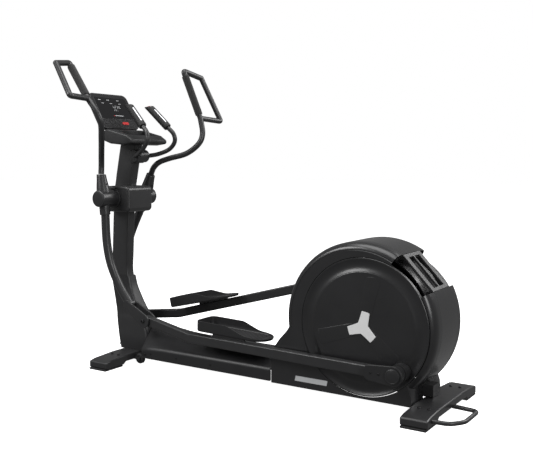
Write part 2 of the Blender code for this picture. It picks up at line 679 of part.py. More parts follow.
def arm_lower(side, s):
    inner, outer = BARREL_INNER_Y, BARREL_OUTER_Y
    profile = [(SHAFT_R + 0.0006, inner), (BARREL_R - 0.003, inner), (BARREL_R, inner + 0.003),
               (BARREL_R, outer - 0.005), (BARREL_R - 0.005, outer), (SHAFT_R + 0.0006, outer)]
    barrel = turned_y("arm_" + side, 0, 0, [(r, s * y) for r, y in profile], STEEL, 20)
    x, z = arm_pivot()
    half = BAR_WIDTH / 2
    root, above = (Vector(p) for p in sided(HANDLE_LINE[:2], s))
    along = (above - root).normalized()
    tops = [root - along * 5 * GAP, root - along * 0.010, Vector((-0.006, s * 0.172, 0.030))]
    socket = tube("socket", tops, 0.026, None, 12)
    for vert in socket.data.vertices:
        if vert.co.z < 0.08:
            vert.co.x = -0.006 + (vert.co.x + 0.006) * 1.42
            vert.co.y = s * 0.172 + (vert.co.y - s * 0.172) * 1.42
    lower = tube("lower", smooth_path(sided(LOWER_LINE, s), 2), LOWER_TUBE_R, None, 10)
    sleeve = tube("sleeve", sided(((0.000, 0.173, -0.040), (0.0035, 0.172, -0.092)), s), 0.030, None, 12)
    yoke_x, yoke_z = LOWER_LINE[-1][0] + 0.004, LOWER_LINE[-1][2] - 0.004
    plates = []
    for off in (-half - 0.0055, half + 0.0055):
        y = s * BAR_Y_FRONT + off
        plates.append(prism_y("cheek", stadium(yoke_x, yoke_z, 0.024, x, z, 0.040, 9), y - 0.005, y + 0.005))
    yoke = prism_y("yoke", circle(yoke_x, yoke_z, 0.0235, 16), s * BAR_Y_FRONT - half - 0.010,
                   s * BAR_Y_FRONT + half + 0.010)
    pin = disc_y("pin", x, z, PIVOT_PIN_R, s * BAR_Y_FRONT - half - 0.008, s * BAR_Y_FRONT + half + 0.008, None, 16)
    end_cap = disc_y("cap", 0, 0, BARREL_R - 0.008, s * (outer - 0.008), s * (outer + 0.002))
    arm = weld(barrel, end_cap, socket, sleeve, lower, yoke, *plates, pin)
    place(arm, HUB_X, HUB_Z, arm_turn(s))


def arm_handle(side, s):
    joint = HANDLE_LINE[-1]
    line = smooth_path(sided(HANDLE_LINE, s), 2)
    loop = rounded_corners(sided((joint, GRIP_TOP, LOOP_TOP), s), 0.014, 3)
    first = tube("arm_handle_" + side, line[:-1] + loop, TUBE_R, STEEL, 8, (0, 0.2, 1))
    back = rounded_corners(sided((LOOP_TOP, LOOP_LOW, joint), s), 0.014, 3)
    second = tube("back", back, TUBE_R * 0.96, None, 8, (1, 0, 0.3))
    place(weld(first, second), HUB_X, HUB_Z, arm_turn(s))


def arm_grip(side, s):
    a, b = (Vector(p) for p in sided((HANDLE_LINE[-1], GRIP_TOP), s))
    start, end = a.lerp(b, 0.075), a.lerp(b, 0.895)
    rings = []
    for r, at in ((TUBE_R + 0.0007, start), (GRIP_R, start), (GRIP_R, end), (TUBE_R + 0.0007, end)):
        along = (b - a).normalized()
        u = Vector((0, 1, 0)).cross(along).normalized()
        v = along.cross(u)
        rings.append([at + u * (r * cos(2 * pi * i / 14)) + v * (r * sin(2 * pi * i / 14)) for i in range(14)])
    grip = loft("arm_grip_" + side, rings, FOAM, closed=True)
    place(grip, HUB_X, HUB_Z, arm_turn(s))


def pivot_housing():
    x0, x1, z0, z1 = HUB_X - 0.075, HUB_X + 0.118, HUB_Z - 0.080, HUB_Z + 0.068
    body = block("pivot_housing", (x0, x1), (-0.100, 0.100), (z0, z1), STEEL)
    body = bevelled(body, 0.018, 2)
    return cut(body, mast_shape("channel", GAP),
               disc_y("bore", HUB_X, HUB_Z, SHAFT_R + GAP, -0.12, 0.12))


def pivot_shaft():
    return disc_y("pivot_shaft", HUB_X, HUB_Z, SHAFT_R, -BARREL_OUTER_Y + 0.009, BARREL_OUTER_Y - 0.009, ZINC)


# Pedal bars ------------------------------------------------------------------------------
# A bar in its own frame: origin on the front pivot, +X along the line to the crank pin.
BEND_DROP = 0.040
BEAM_RISE = 0.035 / (BAR_LENGTH - 0.105 - BAR_BEND_BACK - 0.050)     # slope behind the bend


def bar_y(x, s):
    """Centre line's y at a distance behind the front pivot."""
    fork = 0.050
    if x <= BAR_BEND_BACK:
        return s * (BAR_Y_FRONT + (BAR_Y_BEND - BAR_Y_FRONT) * max(x - fork, 0) / (BAR_BEND_BACK - fork))
    t = (x - BAR_BEND_BACK) / (BAR_LENGTH - BAR_BEND_BACK)
    return s * (BAR_Y_BEND + (BAR_Y_PIN - BAR_Y_BEND) * t)


def bar_top(x):
    """Height of the bar's upper face behind its bend."""
    return -0.038 + BEAM_RISE * (x - BAR_BEND_BACK - 0.050) + BAR_DEPTH / 2


def pedal_bar(side, s):
    hx, hy = BAR_WIDTH / 2, BAR_DEPTH / 2
    rear = BAR_LENGTH - 0.045
    line = [(0.018, bar_y(0, s), -0.002), (0.050, bar_y(0, s), -0.005), (BAR_BEND_BACK - 0.05, bar_y(BAR_BEND_BACK - 0.05, s), -BEND_DROP * 0.84),
            (BAR_BEND_BACK, bar_y(BAR_BEND_BACK, s), -BEND_DROP), (BAR_BEND_BACK + 0.05, bar_y(BAR_BEND_BACK + 0.05, s), -0.038),
            (rear - 0.06, bar_y(rear - 0.06, s), -0.003), (rear, bar_y(rear + 0.045, s), 0.0),
            (BAR_LENGTH, bar_y(BAR_LENGTH, s), 0.0)]
    beam = sweep("pedal_bar_" + side, line, rounded_box(hy, hx, 0.006, 0, 0, 2), STEEL)
    eye = disc_y("eye", 0, 0, 0.026, s * BAR_Y_FRONT - hx, s * BAR_Y_FRONT + hx, None, 20)
    boss = disc_y("boss", BAR_LENGTH, 0, 0.037, s * (BAR_Y_PIN - hx), s * (BAR_Y_PIN + hx))
    bore = disc_y("bore", 0, 0, PIVOT_PIN_R + 0.0006, s * 0.1, s * 0.19, None, 16)
    bar = cut(weld(beam, eye, boss), bore)
    place(bar, *front_pivot(s), -bar_angle(s))


def bar_cap(side, s):
    """Bearing cover over the crank pin, with its two screws' land."""
    y0 = s * (BAR_Y_PIN + BAR_WIDTH / 2 + GAP)
    outline = stadium(BAR_LENGTH - 0.110, -0.002, 0.036, BAR_LENGTH, 0, 0.045)
    cap = prism_y("bar_cap_" + side, outline, y0, y0 + s * 0.012, PLASTIC)
    boss = disc_y("boss", BAR_LENGTH, 0, 0.034, y0 + s * 0.010, y0 + s * 0.022)
    place(weld(cap, boss), *front_pivot(s), -bar_angle(s))


PEDAL_X = (0.377, 0.807)            # front and rear end, behind the front pivot
PEDAL_Y = (0.031, 0.191)
PEDAL_HEIGHT, PEDAL_FLOOR_T = 0.057, 0.008
PEDAL_FLOOR_Z = 0.006               # underside, above the pivot line


def pedal(side, s):
    hx, hy = (PEDAL_X[1] - PEDAL_X[0]) / 2, (PEDAL_Y[1] - PEDAL_Y[0]) / 2
    cx, cy = (PEDAL_X[0] + PEDAL_X[1]) / 2, s * (PEDAL_Y[0] + PEDAL_Y[1]) / 2

    def outline(inset):
        front = rounded_box(hx - inset, hy - inset, 0.035 - inset, cx, cy, 3)[3:9]
        arc = circle(PEDAL_X[1] - hy, cy, hy - inset, 9, -pi / 2, pi)
        return arc + front

    z0, z1 = PEDAL_FLOOR_Z, PEDAL_FLOOR_Z + PEDAL_HEIGHT
    shell = prism_z("pedal_" + side, outline(0.0), z0, z1, PLASTIC)
    well = prism_z("well", outline(0.007), z0 + PEDAL_FLOOR_T, z1 + 0.02)
    front, rear = PEDAL_X
    lip = [(front + 0.198, z1 + 0.002), (front + 0.310, z0 + 0.022), (rear - 0.047, z0 + 0.015),
           (rear + 0.02, z0 + 0.013), (rear + 0.02, z1 + 0.03), (front + 0.198, z1 + 0.03)]
    slope = prism_y("slope", lip, cy - 0.2, cy + 0.2)
    x0, x1 = cx - 0.10, cx + 0.10
    outline = ((x0, bar_top(x0) + 2 * GAP), (x1, bar_top(x1) + 2 * GAP), (x1, z0 + 0.004), (x0, z0 + 0.004))
    post = prism_y("post", outline, s * 0.170, s * 0.187)
    place(weld(cut(shell, well, slope), post), *front_pivot(s), -bar_angle(s))


# Console and fixed handlebar -----------------------------------------------------------------
CONSOLE_TILT = radians(30)          # face leans back from upright
CONSOLE_X, CONSOLE_Z = AXLE_X - 1.700, 1.430
CONSOLE_HALF_W, CONSOLE_HALF_H, CONSOLE_T = 0.155, 0.118, 0.046


def console_place(obj):
    obj.location = (CONSOLE_X, 0, CONSOLE_Z)
    obj.rotation_euler = (0, -CONSOLE_TILT, 0)
    return obj


def console_plate(name, hw, hh, x0, x1, r, mat=None, cz=0.0, cy=0.0):
    """Rounded plate in the console's frame: +X out of the face, +Z up the face."""
    return prism_x(name, rounded_box(hw, hh, r, cy, cz, 4), x0, x1, mat)


def console_shell():
    hw, hh, t = CONSOLE_HALF_W, CONSOLE_HALF_H, CONSOLE_T
    rings = []
    for x, inset in ((-t, 0.030), (-t + 0.012, 0.010), (-0.020, 0.0), (0.0, 0.0)):
        rings.append([(x, y, z) for y, z in rounded_box(hw - inset, hh - inset, 0.035, 0, 0, 4)])
    shell = loft("console_shell", rings, PLASTIC)
    pocket = console_plate("pocket", hw - 0.006, hh - 0.006, -0.018, 0.02, 0.030)
    return console_place(cut(shell, pocket))


def console_face():
    hw, hh = CONSOLE_HALF_W - 0.006 - GAP, CONSOLE_HALF_H - 0.006 - GAP
    face = console_plate("console_face", hw, hh, -0.006, 0.001, 0.0297, PLASTIC)
    window = console_plate("window", 0.128, 0.072, -0.0035, 0.02, 0.012, None, 0.018)
    key_hole = console_plate("key_hole", 0.0265, 0.0095, -0.02, 0.02, 0.009, None, -0.083, 0.045)
    return console_place(cut(face, window, key_hole))


def console_lens():
    console_place(console_plate("console_lens", 0.128 - GAP, 0.072 - GAP, -0.0032, 0.0012, 0.0117, GLASS, 0.018))


def stop_key():
    console_place(console_plate("stop_key", 0.026, 0.009, -0.012, 0.005, 0.0087, RED, -0.083, 0.045))


TRAY_OUTLINE = ((-1.668, 1.3005), (-1.628, 1.322), (-1.600, 1.3195), (-1.470, 1.287), (-1.432, 1.262), (-1.430, 1.240),
                (-1.500, 1.231), (-1.600, 1.240), (-1.664, 1.262))


def console_tray():
    """Shelf below the display, towards the user."""
    outline = [(AXLE_X + x, z) for x, z in TRAY_OUTLINE]
    body = bevelled(prism_y("console_tray", outline, -0.150, 0.150, PLASTIC), 0.010, 2, 60)
    dish_outline = [(AXLE_X + x, z) for x, z in ((-1.590, 1.275), (-1.480, 1.262), (-1.460, 1.330), (-1.590, 1.350))]
    dish = prism_y("dish", dish_outline, -0.120, 0.120)
    return cut(body, dish, mast_shape("channel", GAP))


HANDLEBAR_LINE = ((-1.512, 0.030, 1.170), (-1.490, 0.055, 1.172), (-1.442, 0.085, 1.182), (-1.386, 0.112, 1.208),
                  (-1.350, 0.119, 1.250), (-1.352, 0.114, 1.294), (-1.385, 0.107, 1.330))
FIXED_GRIP = ((-1.385, 0.107, 1.330), (-1.512, 0.085, 1.455))
CLAMP_X, CLAMP_Z = AXLE_X - 1.512, 1.170


def handlebar_line():
    right = smooth_path([(AXLE_X + x, y, z) for x, y, z in HANDLEBAR_LINE], 2)
    tip = Vector((AXLE_X + FIXED_GRIP[1][0], FIXED_GRIP[1][1], FIXED_GRIP[1][2]))
    right.append(right[-1].lerp(tip, 0.86))
    return [Vector((p.x, -p.y, p.z)) for p in reversed(right)] + right


def fixed_handlebar():
    return tube("fixed_handlebar", handlebar_line(), 0.0125, STEEL, 8, (0.35, 0, 1))


def handlebar_clamp():
    x, z = CLAMP_X, CLAMP_Z
    body = prism_y("handlebar_clamp", circle(x, z, 0.036, 20), -0.048, 0.048, STEEL)
    pad = block("pad", (x - 0.040, x), (-0.036, 0.036), (z - 0.040, z + 0.032))
    channel = tube("channel", handlebar_line(), 0.0125 + 2 * GAP, None, 8, (0.35, 0, 1))
    return cut(weld(body, pad), mast_shape("channel", GAP), channel)


def grip_frame(s):
    a = Vector((AXLE_X + FIXED_GRIP[0][0], s * FIXED_GRIP[0][1], FIXED_GRIP[0][2]))
    b = Vector((AXLE_X + FIXED_GRIP[1][0], s * FIXED_GRIP[1][1], FIXED_GRIP[1][2]))
    along = (b - a).normalized()
    out = Vector((0, s, 0))
    out = (out - along * out.dot(along)).normalized()
    up = out.cross(along) * s
    return a, b, along, out, up


END_SLANT = 0.8                     # a fixed grip's upper end leans towards the user


def grip_prism(name, s, outline, d0, d1, mat=None, slants=(0, 0)):
    """Extrude an (out, up) outline along a fixed grip, from d0 to d1 past its lower end."""
    a, _, along, out, up = grip_frame(s)
    rings = [[a + along * (d - slant * v) + out * u + up * v for u, v in outline]
             for d, slant in zip((d0, d1), slants)]
    return loft(name, rings, mat)


def grip_length():
    a, b, *_ = grip_frame(1)
    return (b - a).length


def pulse_grip(side, s):
    length = grip_length()
    grip = grip_prism("pulse_grip_" + side, s, circle(0, 0, 0.0225, 16), 0.004, length, FOAM,
                      (0, END_SLANT))
    bore = grip_prism("bore", s, round_section(0.0131, 12), -0.02, length * 0.865)
    recess = grip_prism("recess", s, ((-0.011, 0.0205), (0.011, 0.0205), (0.011, 0.03), (-0.011, 0.03)),
                        0.030, length - 0.045)
    button_hole = grip_prism("button", s, circle(0.0, 0.004, 0.0095, 16), length - 0.009, length + 0.02, None,
                             (END_SLANT, END_SLANT))
    return cut(grip, bore, recess, button_hole)


def pulse_contact(side, s):
    outline = ((-0.0105, 0.0208), (0.0105, 0.0208), (0.0105, 0.0222), (0.0, 0.0232), (-0.0105, 0.0222))
    grip_prism("pulse_contact_" + side, s, outline, 0.0305, grip_length() - 0.0455, SILVER)


def grip_button(side, s):
    length = grip_length()
    grip_prism("grip_button_" + side, s, circle(0.0, 0.004, 0.009, 16), length - 0.0055, length + 0.003, RED,
                (END_SLANT, END_SLANT))


def build():
    clear_scene()
    base_rail()
    feet()
    rear_lift_handle()
    wheel_bracket()
    transport_wheels()
    mast()
    mast_boot()
    pivot_housing()
    pivot_shaft()
    drive_covers()
    drive_crown()
    carry_handle()
    drive_frame()
    crank_bearing()
    drive_belt()
    flywheel()
    idler_wheel()
    magnetic_brake()
    crank_axle()
    crank_pulley()
    for side, s in SIDES:
        base_cover(side, s)
        crank_disc(side, s)
        crank_arm(side, s)
        hub_plate(side, s)
        arm_lower(side, s)
        arm_handle(side, s)
        arm_grip(side, s)
        pedal_bar(side, s)
        bar_cap(side, s)
        pedal(side, s)
        pulse_grip(side, s)
        pulse_contact(side, s)
        grip_button(side, s)
    console_shell()
    console_face()
    console_lens()
    stop_key()
    console_tray()
    fixed_handlebar()
    handlebar_clamp()


build()
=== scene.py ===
"""Visible pieces of a rear-drive elliptical trainer, modelled round its CAD frame.

Metres, +Z up, +X towards the drive housing at the rear, -Y on the machine's left.
"""
import json
from math import acos, atan2, cos, hypot, pi, radians, sin

import bmesh
import bpy
from mathutils import Matrix, Vector
from mathutils.kdtree import KDTree


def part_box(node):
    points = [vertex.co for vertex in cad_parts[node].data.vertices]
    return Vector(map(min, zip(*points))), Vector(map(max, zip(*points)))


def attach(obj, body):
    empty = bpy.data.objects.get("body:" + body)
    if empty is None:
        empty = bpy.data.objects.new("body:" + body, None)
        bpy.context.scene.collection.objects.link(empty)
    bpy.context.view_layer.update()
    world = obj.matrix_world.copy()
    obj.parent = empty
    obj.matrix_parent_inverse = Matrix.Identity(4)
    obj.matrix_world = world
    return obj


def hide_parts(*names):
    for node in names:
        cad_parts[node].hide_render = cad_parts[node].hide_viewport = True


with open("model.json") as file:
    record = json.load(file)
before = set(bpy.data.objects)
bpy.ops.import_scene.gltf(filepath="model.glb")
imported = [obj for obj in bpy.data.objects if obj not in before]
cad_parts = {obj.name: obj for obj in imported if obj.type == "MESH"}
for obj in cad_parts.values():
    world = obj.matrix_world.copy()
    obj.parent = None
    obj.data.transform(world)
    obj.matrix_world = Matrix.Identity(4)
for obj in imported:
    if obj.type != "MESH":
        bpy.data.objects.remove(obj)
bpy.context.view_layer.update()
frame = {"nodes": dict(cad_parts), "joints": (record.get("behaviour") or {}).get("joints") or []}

bl_info = {
    "name": "Elliptical Trainer",
    "version": (1, 0, 0),
    "blender": (4, 5, 0),
    "location": "3D View > Sidebar > Trainer",
    "description": "Models the visible pieces of an elliptical trainer round its CAD frame",
    "category": "Add Mesh",
}

# Places taken from the frame ---------------------------------------------------
JOINTS = {joint["name"]: joint["pos_m"] for joint in frame["joints"] if "pos_m" in joint}
AXLE_X, _, AXLE_Z = JOINTS["crank_spin"]
HUB_X, _, HUB_Z = JOINTS["left_arm_swing"]
WHEEL_X, _, WHEEL_Z = JOINTS["left_wheel_spin"]
SIDES = (("left", -1), ("right", 1))
CRANK_R = 0.264
GAP = 0.0003               # between pieces that touch
CRANK_REST = radians(-42.5)


def crank_angle(s):
    return CRANK_REST if s < 0 else CRANK_REST + pi


def crank_pin(s):
    return AXLE_X + CRANK_R * cos(crank_angle(s)), AXLE_Z + CRANK_R * sin(crank_angle(s))


def front_pivot(s):
    x, _, z = JOINTS["left_bar_pivot" if s < 0 else "right_bar_pivot"]
    return x, z


def arm_turn(s):
    """How far an arm is turned from the left arm's rest, about +Y."""
    angles = []
    for side in (-1, s):
        x, z = front_pivot(side)
        angles.append(atan2(x - HUB_X, HUB_Z - z))
    return angles[0] - angles[1]


def bar_turn(s):
    """Turn about +Y that lays +X along the line from front pivot to crank pin."""
    (fx, fz), (px, pz) = front_pivot(s), crank_pin(s)
    return -atan2(pz - fz, px - fx)


# Outlines and paths ------------------------------------------------------------
def arc(cx, cz, r, count, start=0.0, turn=2 * pi):
    step = turn / (count if turn == 2 * pi else count - 1)
    return [(cx + r * cos(start + i * step), cz + r * sin(start + i * step))
            for i in range(count)]


def rounded_box(hx, hy, r, cx=0.0, cy=0.0, steps=7):
    points = []
    corners = ((hx - r, hy - r), (r - hx, hy - r), (r - hx, r - hy), (hx - r, r - hy))
    for quarter, (px, py) in enumerate(corners):
        points += arc(cx + px, cy + py, r, steps, quarter * pi / 2, pi / 2)
    return points


def stadium(x0, z0, r0, x1, z1, r1, steps=24):
    """Outline round two circles joined by their outer tangents."""
    heading = atan2(z1 - z0, x1 - x0)
    spread = acos((r0 - r1) / hypot(x1 - x0, z1 - z0))
    return (arc(x1, z1, r1, steps, heading - spread, 2 * spread)
            + arc(x0, z0, r0, steps, heading + spread, 2 * (pi - spread)))


def smooth_path(points, steps=8):
    """Points along an even curve through the given points."""
    pts = [Vector(p) for p in points]
    pts = [2 * pts[0] - pts[1], *pts, 2 * pts[-1] - pts[-2]]
    path = []
    for a, b, c, d in zip(pts, pts[1:], pts[2:], pts[3:]):
        for i in range(steps):
            t = i / steps
            path.append(0.5 * (2 * b + (c - a) * t + (2 * a - 5 * b + 4 * c - d) * t * t
                               + (3 * b - a - 3 * c + d) * t ** 3))
    path.append(pts[-2])
    return path


def rounded_corners(points, radius, steps=8):
    """A polyline whose inner corners are rounded with an even bend."""
    pts = [Vector(p) for p in points]
    path = [pts[0]]
    for before, corner, after in zip(pts, pts[1:], pts[2:]):
        start = corner - (corner - before).normalized() * radius
        end = corner + (after - corner).normalized() * radius
        for i in range(steps + 1):
            t = i / steps
            path.append((1 - t) ** 2 * start + 2 * t * (1 - t) * corner + t * t * end)
    path.append(pts[-1])
    return path


def spread(points, longest=0.03):
    """The same path with no step longer than the given length."""
    path = [Vector(points[0])]
    for a, b in zip(points, points[1:]):
        a, b = Vector(a), Vector(b)
        count = max(1, int((b - a).length / longest) + 1)
        path += [a.lerp(b, (i + 1) / count) for i in range(count)]
    return path


def sections_along(path, outline, up=(0, 1, 0)):
    """An (a, b) outline set across a path; b runs along the `up` direction."""
    path, up = [Vector(p) for p in path], Vector(up)
    rings = []
    for i, point in enumerate(path):
        tangent = (path[min(i + 1, len(path) - 1)] - path[max(i - 1, 0)]).normalized()
        b = (up - tangent * up.dot(tangent)).normalized()
        a = b.cross(tangent)
        rings.append([point + a * u + b * v for u, v in outline])
    return rings


# Modelling moves ---------------------------------------------------------------
def start_clean():
    if bpy.context.object and bpy.context.object.mode != "OBJECT":
        bpy.ops.object.mode_set(mode="OBJECT")
    bpy.ops.object.select_all(action="DESELECT")


def only(obj):
    start_clean()
    obj.select_set(True)
    bpy.context.view_layer.objects.active = obj
    return obj


def face_outwards(obj):
    only(obj)
    bpy.ops.object.mode_set(mode="EDIT")
    bpy.ops.mesh.select_all(action="SELECT")
    bpy.ops.mesh.remove_doubles(threshold=2e-6)
    bpy.ops.mesh.normals_make_consistent(inside=False)
    bpy.ops.object.mode_set(mode="OBJECT")
    return obj


def skin(name, rings):
    """A filled outline extruded from each section to the next."""
    start_clean()
    bpy.ops.mesh.primitive_circle_add(vertices=len(rings[0]), radius=1, fill_type="NGON")
    obj = bpy.context.object
    obj.name = obj.data.name = name
    for vert, point in zip(obj.data.vertices, rings[0]):
        vert.co = point
    bpy.ops.object.mode_set(mode="EDIT")
    bpy.ops.mesh.select_all(action="SELECT")
    for ring, following in zip(rings, rings[1:]):
        bpy.ops.mesh.extrude_region()
        mesh = bmesh.from_edit_mesh(obj.data)
        places = KDTree(len(ring))
        for i, point in enumerate(ring):
            places.insert(point, i)
        places.balance()
        for vert in [v for v in mesh.verts if v.select]:
            vert.co = following[places.find(vert.co)[1]]
        bmesh.update_edit_mesh(obj.data)
    return face_outwards(obj)


def across_y(name, outline, y0, y1):
    """An (x, z) outline extruded between two y values."""
    return skin(name, [[(x, y, z) for x, z in outline] for y in (y0, y1)])


def across_x(name, outline, x0, x1):
    return skin(name, [[(x, y, z) for y, z in outline] for x in (x0, x1)])


def spun(name, cx, cz, profile, steps=72):
    """A closed (radius, y) profile spun round a line along +Y."""
    start_clean()
    bpy.ops.mesh.primitive_circle_add(vertices=len(profile), radius=1)
    obj = bpy.context.object
    obj.name = obj.data.name = name
    for vert, (r, y) in zip(obj.data.vertices, profile):
        vert.co = (cx + r, y, cz)
    bpy.ops.object.mode_set(mode="EDIT")
    bpy.ops.mesh.select_all(action="SELECT")
    bpy.ops.mesh.spin(steps=steps, angle=2 * pi, center=(cx, 0, cz), axis=(0, 1, 0))
    return face_outwards(obj)


def bent_tube(name, points, radius, rounds=6):
    """A round tube along a path, with closed ends."""
    start_clean()
    bpy.ops.curve.primitive_nurbs_path_add()
    obj = bpy.context.object
    obj.location = (0, 0, 0)
    curve = obj.data
    curve.splines.clear()
    line = curve.splines.new("POLY")
    line.points.add(len(points) - 1)
    for knot, point in zip(line.points, points):
        knot.co = (*point, 1)
    curve.bevel_depth, curve.bevel_resolution = radius, rounds
    curve.use_fill_caps = True
    bpy.ops.object.convert(target="MESH")
    obj = bpy.context.object
    obj.name = obj.data.name = name
    return face_outwards(obj)


def apply_modifier(obj, kind, **settings):
    only(obj)
    bpy.ops.object.modifier_add(type=kind)
    modifier = obj.modifiers[-1]
    for key, value in settings.items():
        setattr(modifier, key, value)
    bpy.ops.object.modifier_apply(modifier=modifier.name)
    return obj


def soften(obj, width, segments=3, angle=30):
    return apply_modifier(obj, "BEVEL", width=width, segments=segments,
                          limit_method="ANGLE", angle_limit=radians(angle),
                          harden_normals=False)


def carve(obj, *cutters):
    for cutter in cutters:
        apply_modifier(obj, "BOOLEAN", operation="DIFFERENCE", object=cutter, solver="EXACT")
        bpy.data.objects.remove(cutter, do_unlink=True)
    return obj


def fuse(obj, *others):
    for other in others:
        apply_modifier(obj, "BOOLEAN", operation="UNION", object=other, solver="EXACT")
        bpy.data.objects.remove(other, do_unlink=True)
    return obj


def set_down(obj, x, z, turn, y=0.0):
    """Turn a piece about +Y, move it into the machine and apply both."""
    only(obj)
    obj.location, obj.rotation_euler = (x, y, z), (0, turn, 0)
    bpy.ops.object.transform_apply(location=True, rotation=True, scale=True)
    return obj


def other_side(obj, name):
    """The same piece for the machine's other side."""
    only(obj)
    bpy.ops.object.duplicate()
    twin = bpy.context.object
    twin.name = twin.data.name = name
    twin.scale = (1, -1, 1)
    bpy.ops.object.transform_apply(location=True, rotation=True, scale=True)
    return face_outwards(twin)


def copy_of(node, name, width=0.0, segments=2, angle=20):
    """A merged, flat-faced and softened copy of a frame node."""
    only(frame["nodes"][node])
    bpy.ops.object.duplicate()
    obj = bpy.context.object
    obj.parent = None
    for key in list(obj.keys()):
        del obj[key]
    obj.name = obj.data.name = name
    obj.data.materials.clear()
    if obj.data.has_custom_normals:
        bpy.ops.mesh.customdata_custom_splitnormals_clear()
    bpy.ops.object.mode_set(mode="EDIT")
    bpy.ops.mesh.select_all(action="SELECT")
    bpy.ops.mesh.remove_doubles(threshold=1e-5)
    bpy.ops.mesh.dissolve_limited(angle_limit=radians(0.6))
    bpy.ops.object.mode_set(mode="OBJECT")
    return soften(obj, width, segments, angle) if width else obj


def joined(name, pieces):
    start_clean()
    for piece in pieces:
        piece.select_set(True)
    bpy.context.view_layer.objects.active = pieces[0]
    bpy.ops.object.join()
    obj = bpy.context.object
    obj.name = obj.data.name = name
    return obj


def hand_over(obj, finish, body, stands_for=(), smooth=34):
    """Give a piece its surface and its body, and hide the frame nodes it stands for."""
    only(obj)
    obj.data.materials.clear()
    obj.data.materials.append(FINISHES[finish])
    bpy.ops.object.shade_smooth_by_angle(angle=radians(smooth))
    apply_modifier(obj, "WEIGHTED_NORMAL", keep_sharp=True)
    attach(obj, body)
    if stands_for:
        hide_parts(*stands_for)
    return obj


def dressed(node, name, finish, width, segments=2, body="frame", angle=20):
    """A softened copy of a node, shown in its place."""
    return hand_over(copy_of(node, name, width, segments, angle), finish, body, [node])


# Finishes ----------------------------------------------------------------------
FINISHES = {}


def finish(name, colour, rough, metal=0.0, mottle=6.0, shade=0.12, grain=900.0, relief=0.0,
           cells=False, stretch=(1, 1, 1), **sockets):
    """A surface whose tone, roughness and fine relief vary over the piece."""
    mat = bpy.data.materials.new(name)
    mat.use_nodes = True
    nodes, link = mat.node_tree.nodes, mat.node_tree.links.new
    shader = nodes["Principled BSDF"]
    shader.inputs["Metallic"].default_value = metal
    for socket, value in sockets.items():
        shader.inputs[socket.replace("_", " ")].default_value = value
    place = nodes.new("ShaderNodeTexCoord")
    lay = nodes.new("ShaderNodeMapping")
    lay.inputs["Scale"].default_value = stretch
    link(place.outputs["Object"], lay.inputs["Vector"])
    clouds = nodes.new("ShaderNodeTexNoise")
    clouds.inputs["Scale"].default_value = mottle
    clouds.inputs["Detail"].default_value = 5.0
    link(lay.outputs["Vector"], clouds.inputs["Vector"])
    tone = nodes.new("ShaderNodeValToRGB")
    for end, spot, level in ((0, 0.32, 1 - shade), (1, 0.68, 1 + shade)):
        tone.color_ramp.elements[end].position = spot
        tone.color_ramp.elements[end].color = (*[min(1, c * level) for c in colour], 1)
    link(clouds.outputs["Fac"], tone.inputs["Fac"])
    link(tone.outputs["Color"], shader.inputs["Base Color"])
    fine = nodes.new("ShaderNodeTexVoronoi" if cells else "ShaderNodeTexNoise")
    fine.inputs["Scale"].default_value = grain
    link(lay.outputs["Vector"], fine.inputs["Vector"])
    polish = nodes.new("ShaderNodeMapRange")
    polish.inputs["To Min"].default_value = rough * 0.86
    polish.inputs["To Max"].default_value = min(1, rough * 1.14)
    smear = nodes.new("ShaderNodeTexNoise")
    smear.inputs["Scale"].default_value = mottle * 5
    link(lay.outputs["Vector"], smear.inputs["Vector"])
    link(smear.outputs["Fac"], polish.inputs["Value"])
    link(polish.outputs["Result"], shader.inputs["Roughness"])
    if relief:
        bump = nodes.new("ShaderNodeBump")
        bump.inputs["Strength"].default_value = 0.6
        bump.inputs["Distance"].default_value = relief
        link(fine.outputs["Distance" if cells else "Fac"], bump.inputs["Height"])
        link(bump.outputs["Normal"], shader.inputs["Normal"])
    FINISHES[name] = mat
    return mat


def make_finishes(tones):
    finish("powder_coat", tones.powder_coat, 0.38, grain=650, relief=0.0002, Coat_Weight=0.25,
           Coat_Roughness=0.25)
    finish("black_plastic", tones.moulding, 0.42, grain=1400, relief=0.00012)
    finish("gloss_plastic", tones.gloss, 0.24, grain=500, relief=0.00003, Coat_Weight=0.5,
           Coat_Roughness=0.12)
    finish("grip_foam", tones.foam, 0.88, mottle=14, shade=0.22, grain=620, relief=0.0005,
           cells=True, Sheen_Weight=0.25, Sheen_Roughness=0.5)
    finish("rubber", tones.rubber, 0.72, mottle=9, shade=0.2, grain=1100, relief=0.0002)
    finish("zinc", (0.55, 0.56, 0.58), 0.32, 1.0, mottle=30, grain=1500, relief=0.00008)
    finish("cast_iron", (0.16, 0.16, 0.17), 0.55, 0.8, mottle=20, shade=0.3, grain=700,
           relief=0.0004)
    finish("pale_plastic", tones.plate, 0.40, shade=0.03, grain=1400, relief=0.00008)
    finish("red_plastic", tones.accent, 0.30, shade=0.08, grain=1400, relief=0.00005)
    finish("display_glass", (0.004, 0.004, 0.005), 0.06, shade=0.05, Coat_Weight=0.6)
    finish("silver_trim", (0.72, 0.73, 0.75), 0.18, 1.0, mottle=12, grain=900,
           stretch=(1, 12, 1), relief=0.00004)
    finish("housing_plastic", tones.moulding, 0.30, grain=1400, relief=0.00008, Coat_Weight=0.3,
           Coat_Roughness=0.2)
    finish("disc_plastic", tones.moulding, 0.33, grain=1400, relief=0.00008, Coat_Weight=0.2,
           Coat_Roughness=0.25)
    finish("grip_plastic", tones.foam, 0.6, mottle=14, grain=900, relief=0.0002)
    finish("zinc_black", (0.030, 0.030, 0.031), 0.35, 0.6, mottle=30, grain=1500, relief=0.00005)
    finish("lit_print", (0.55, 0.56, 0.57), 0.5, shade=0.05)
    finish("belt_rubber", (0.02, 0.02, 0.02), 0.65, grain=900, relief=0.0003)


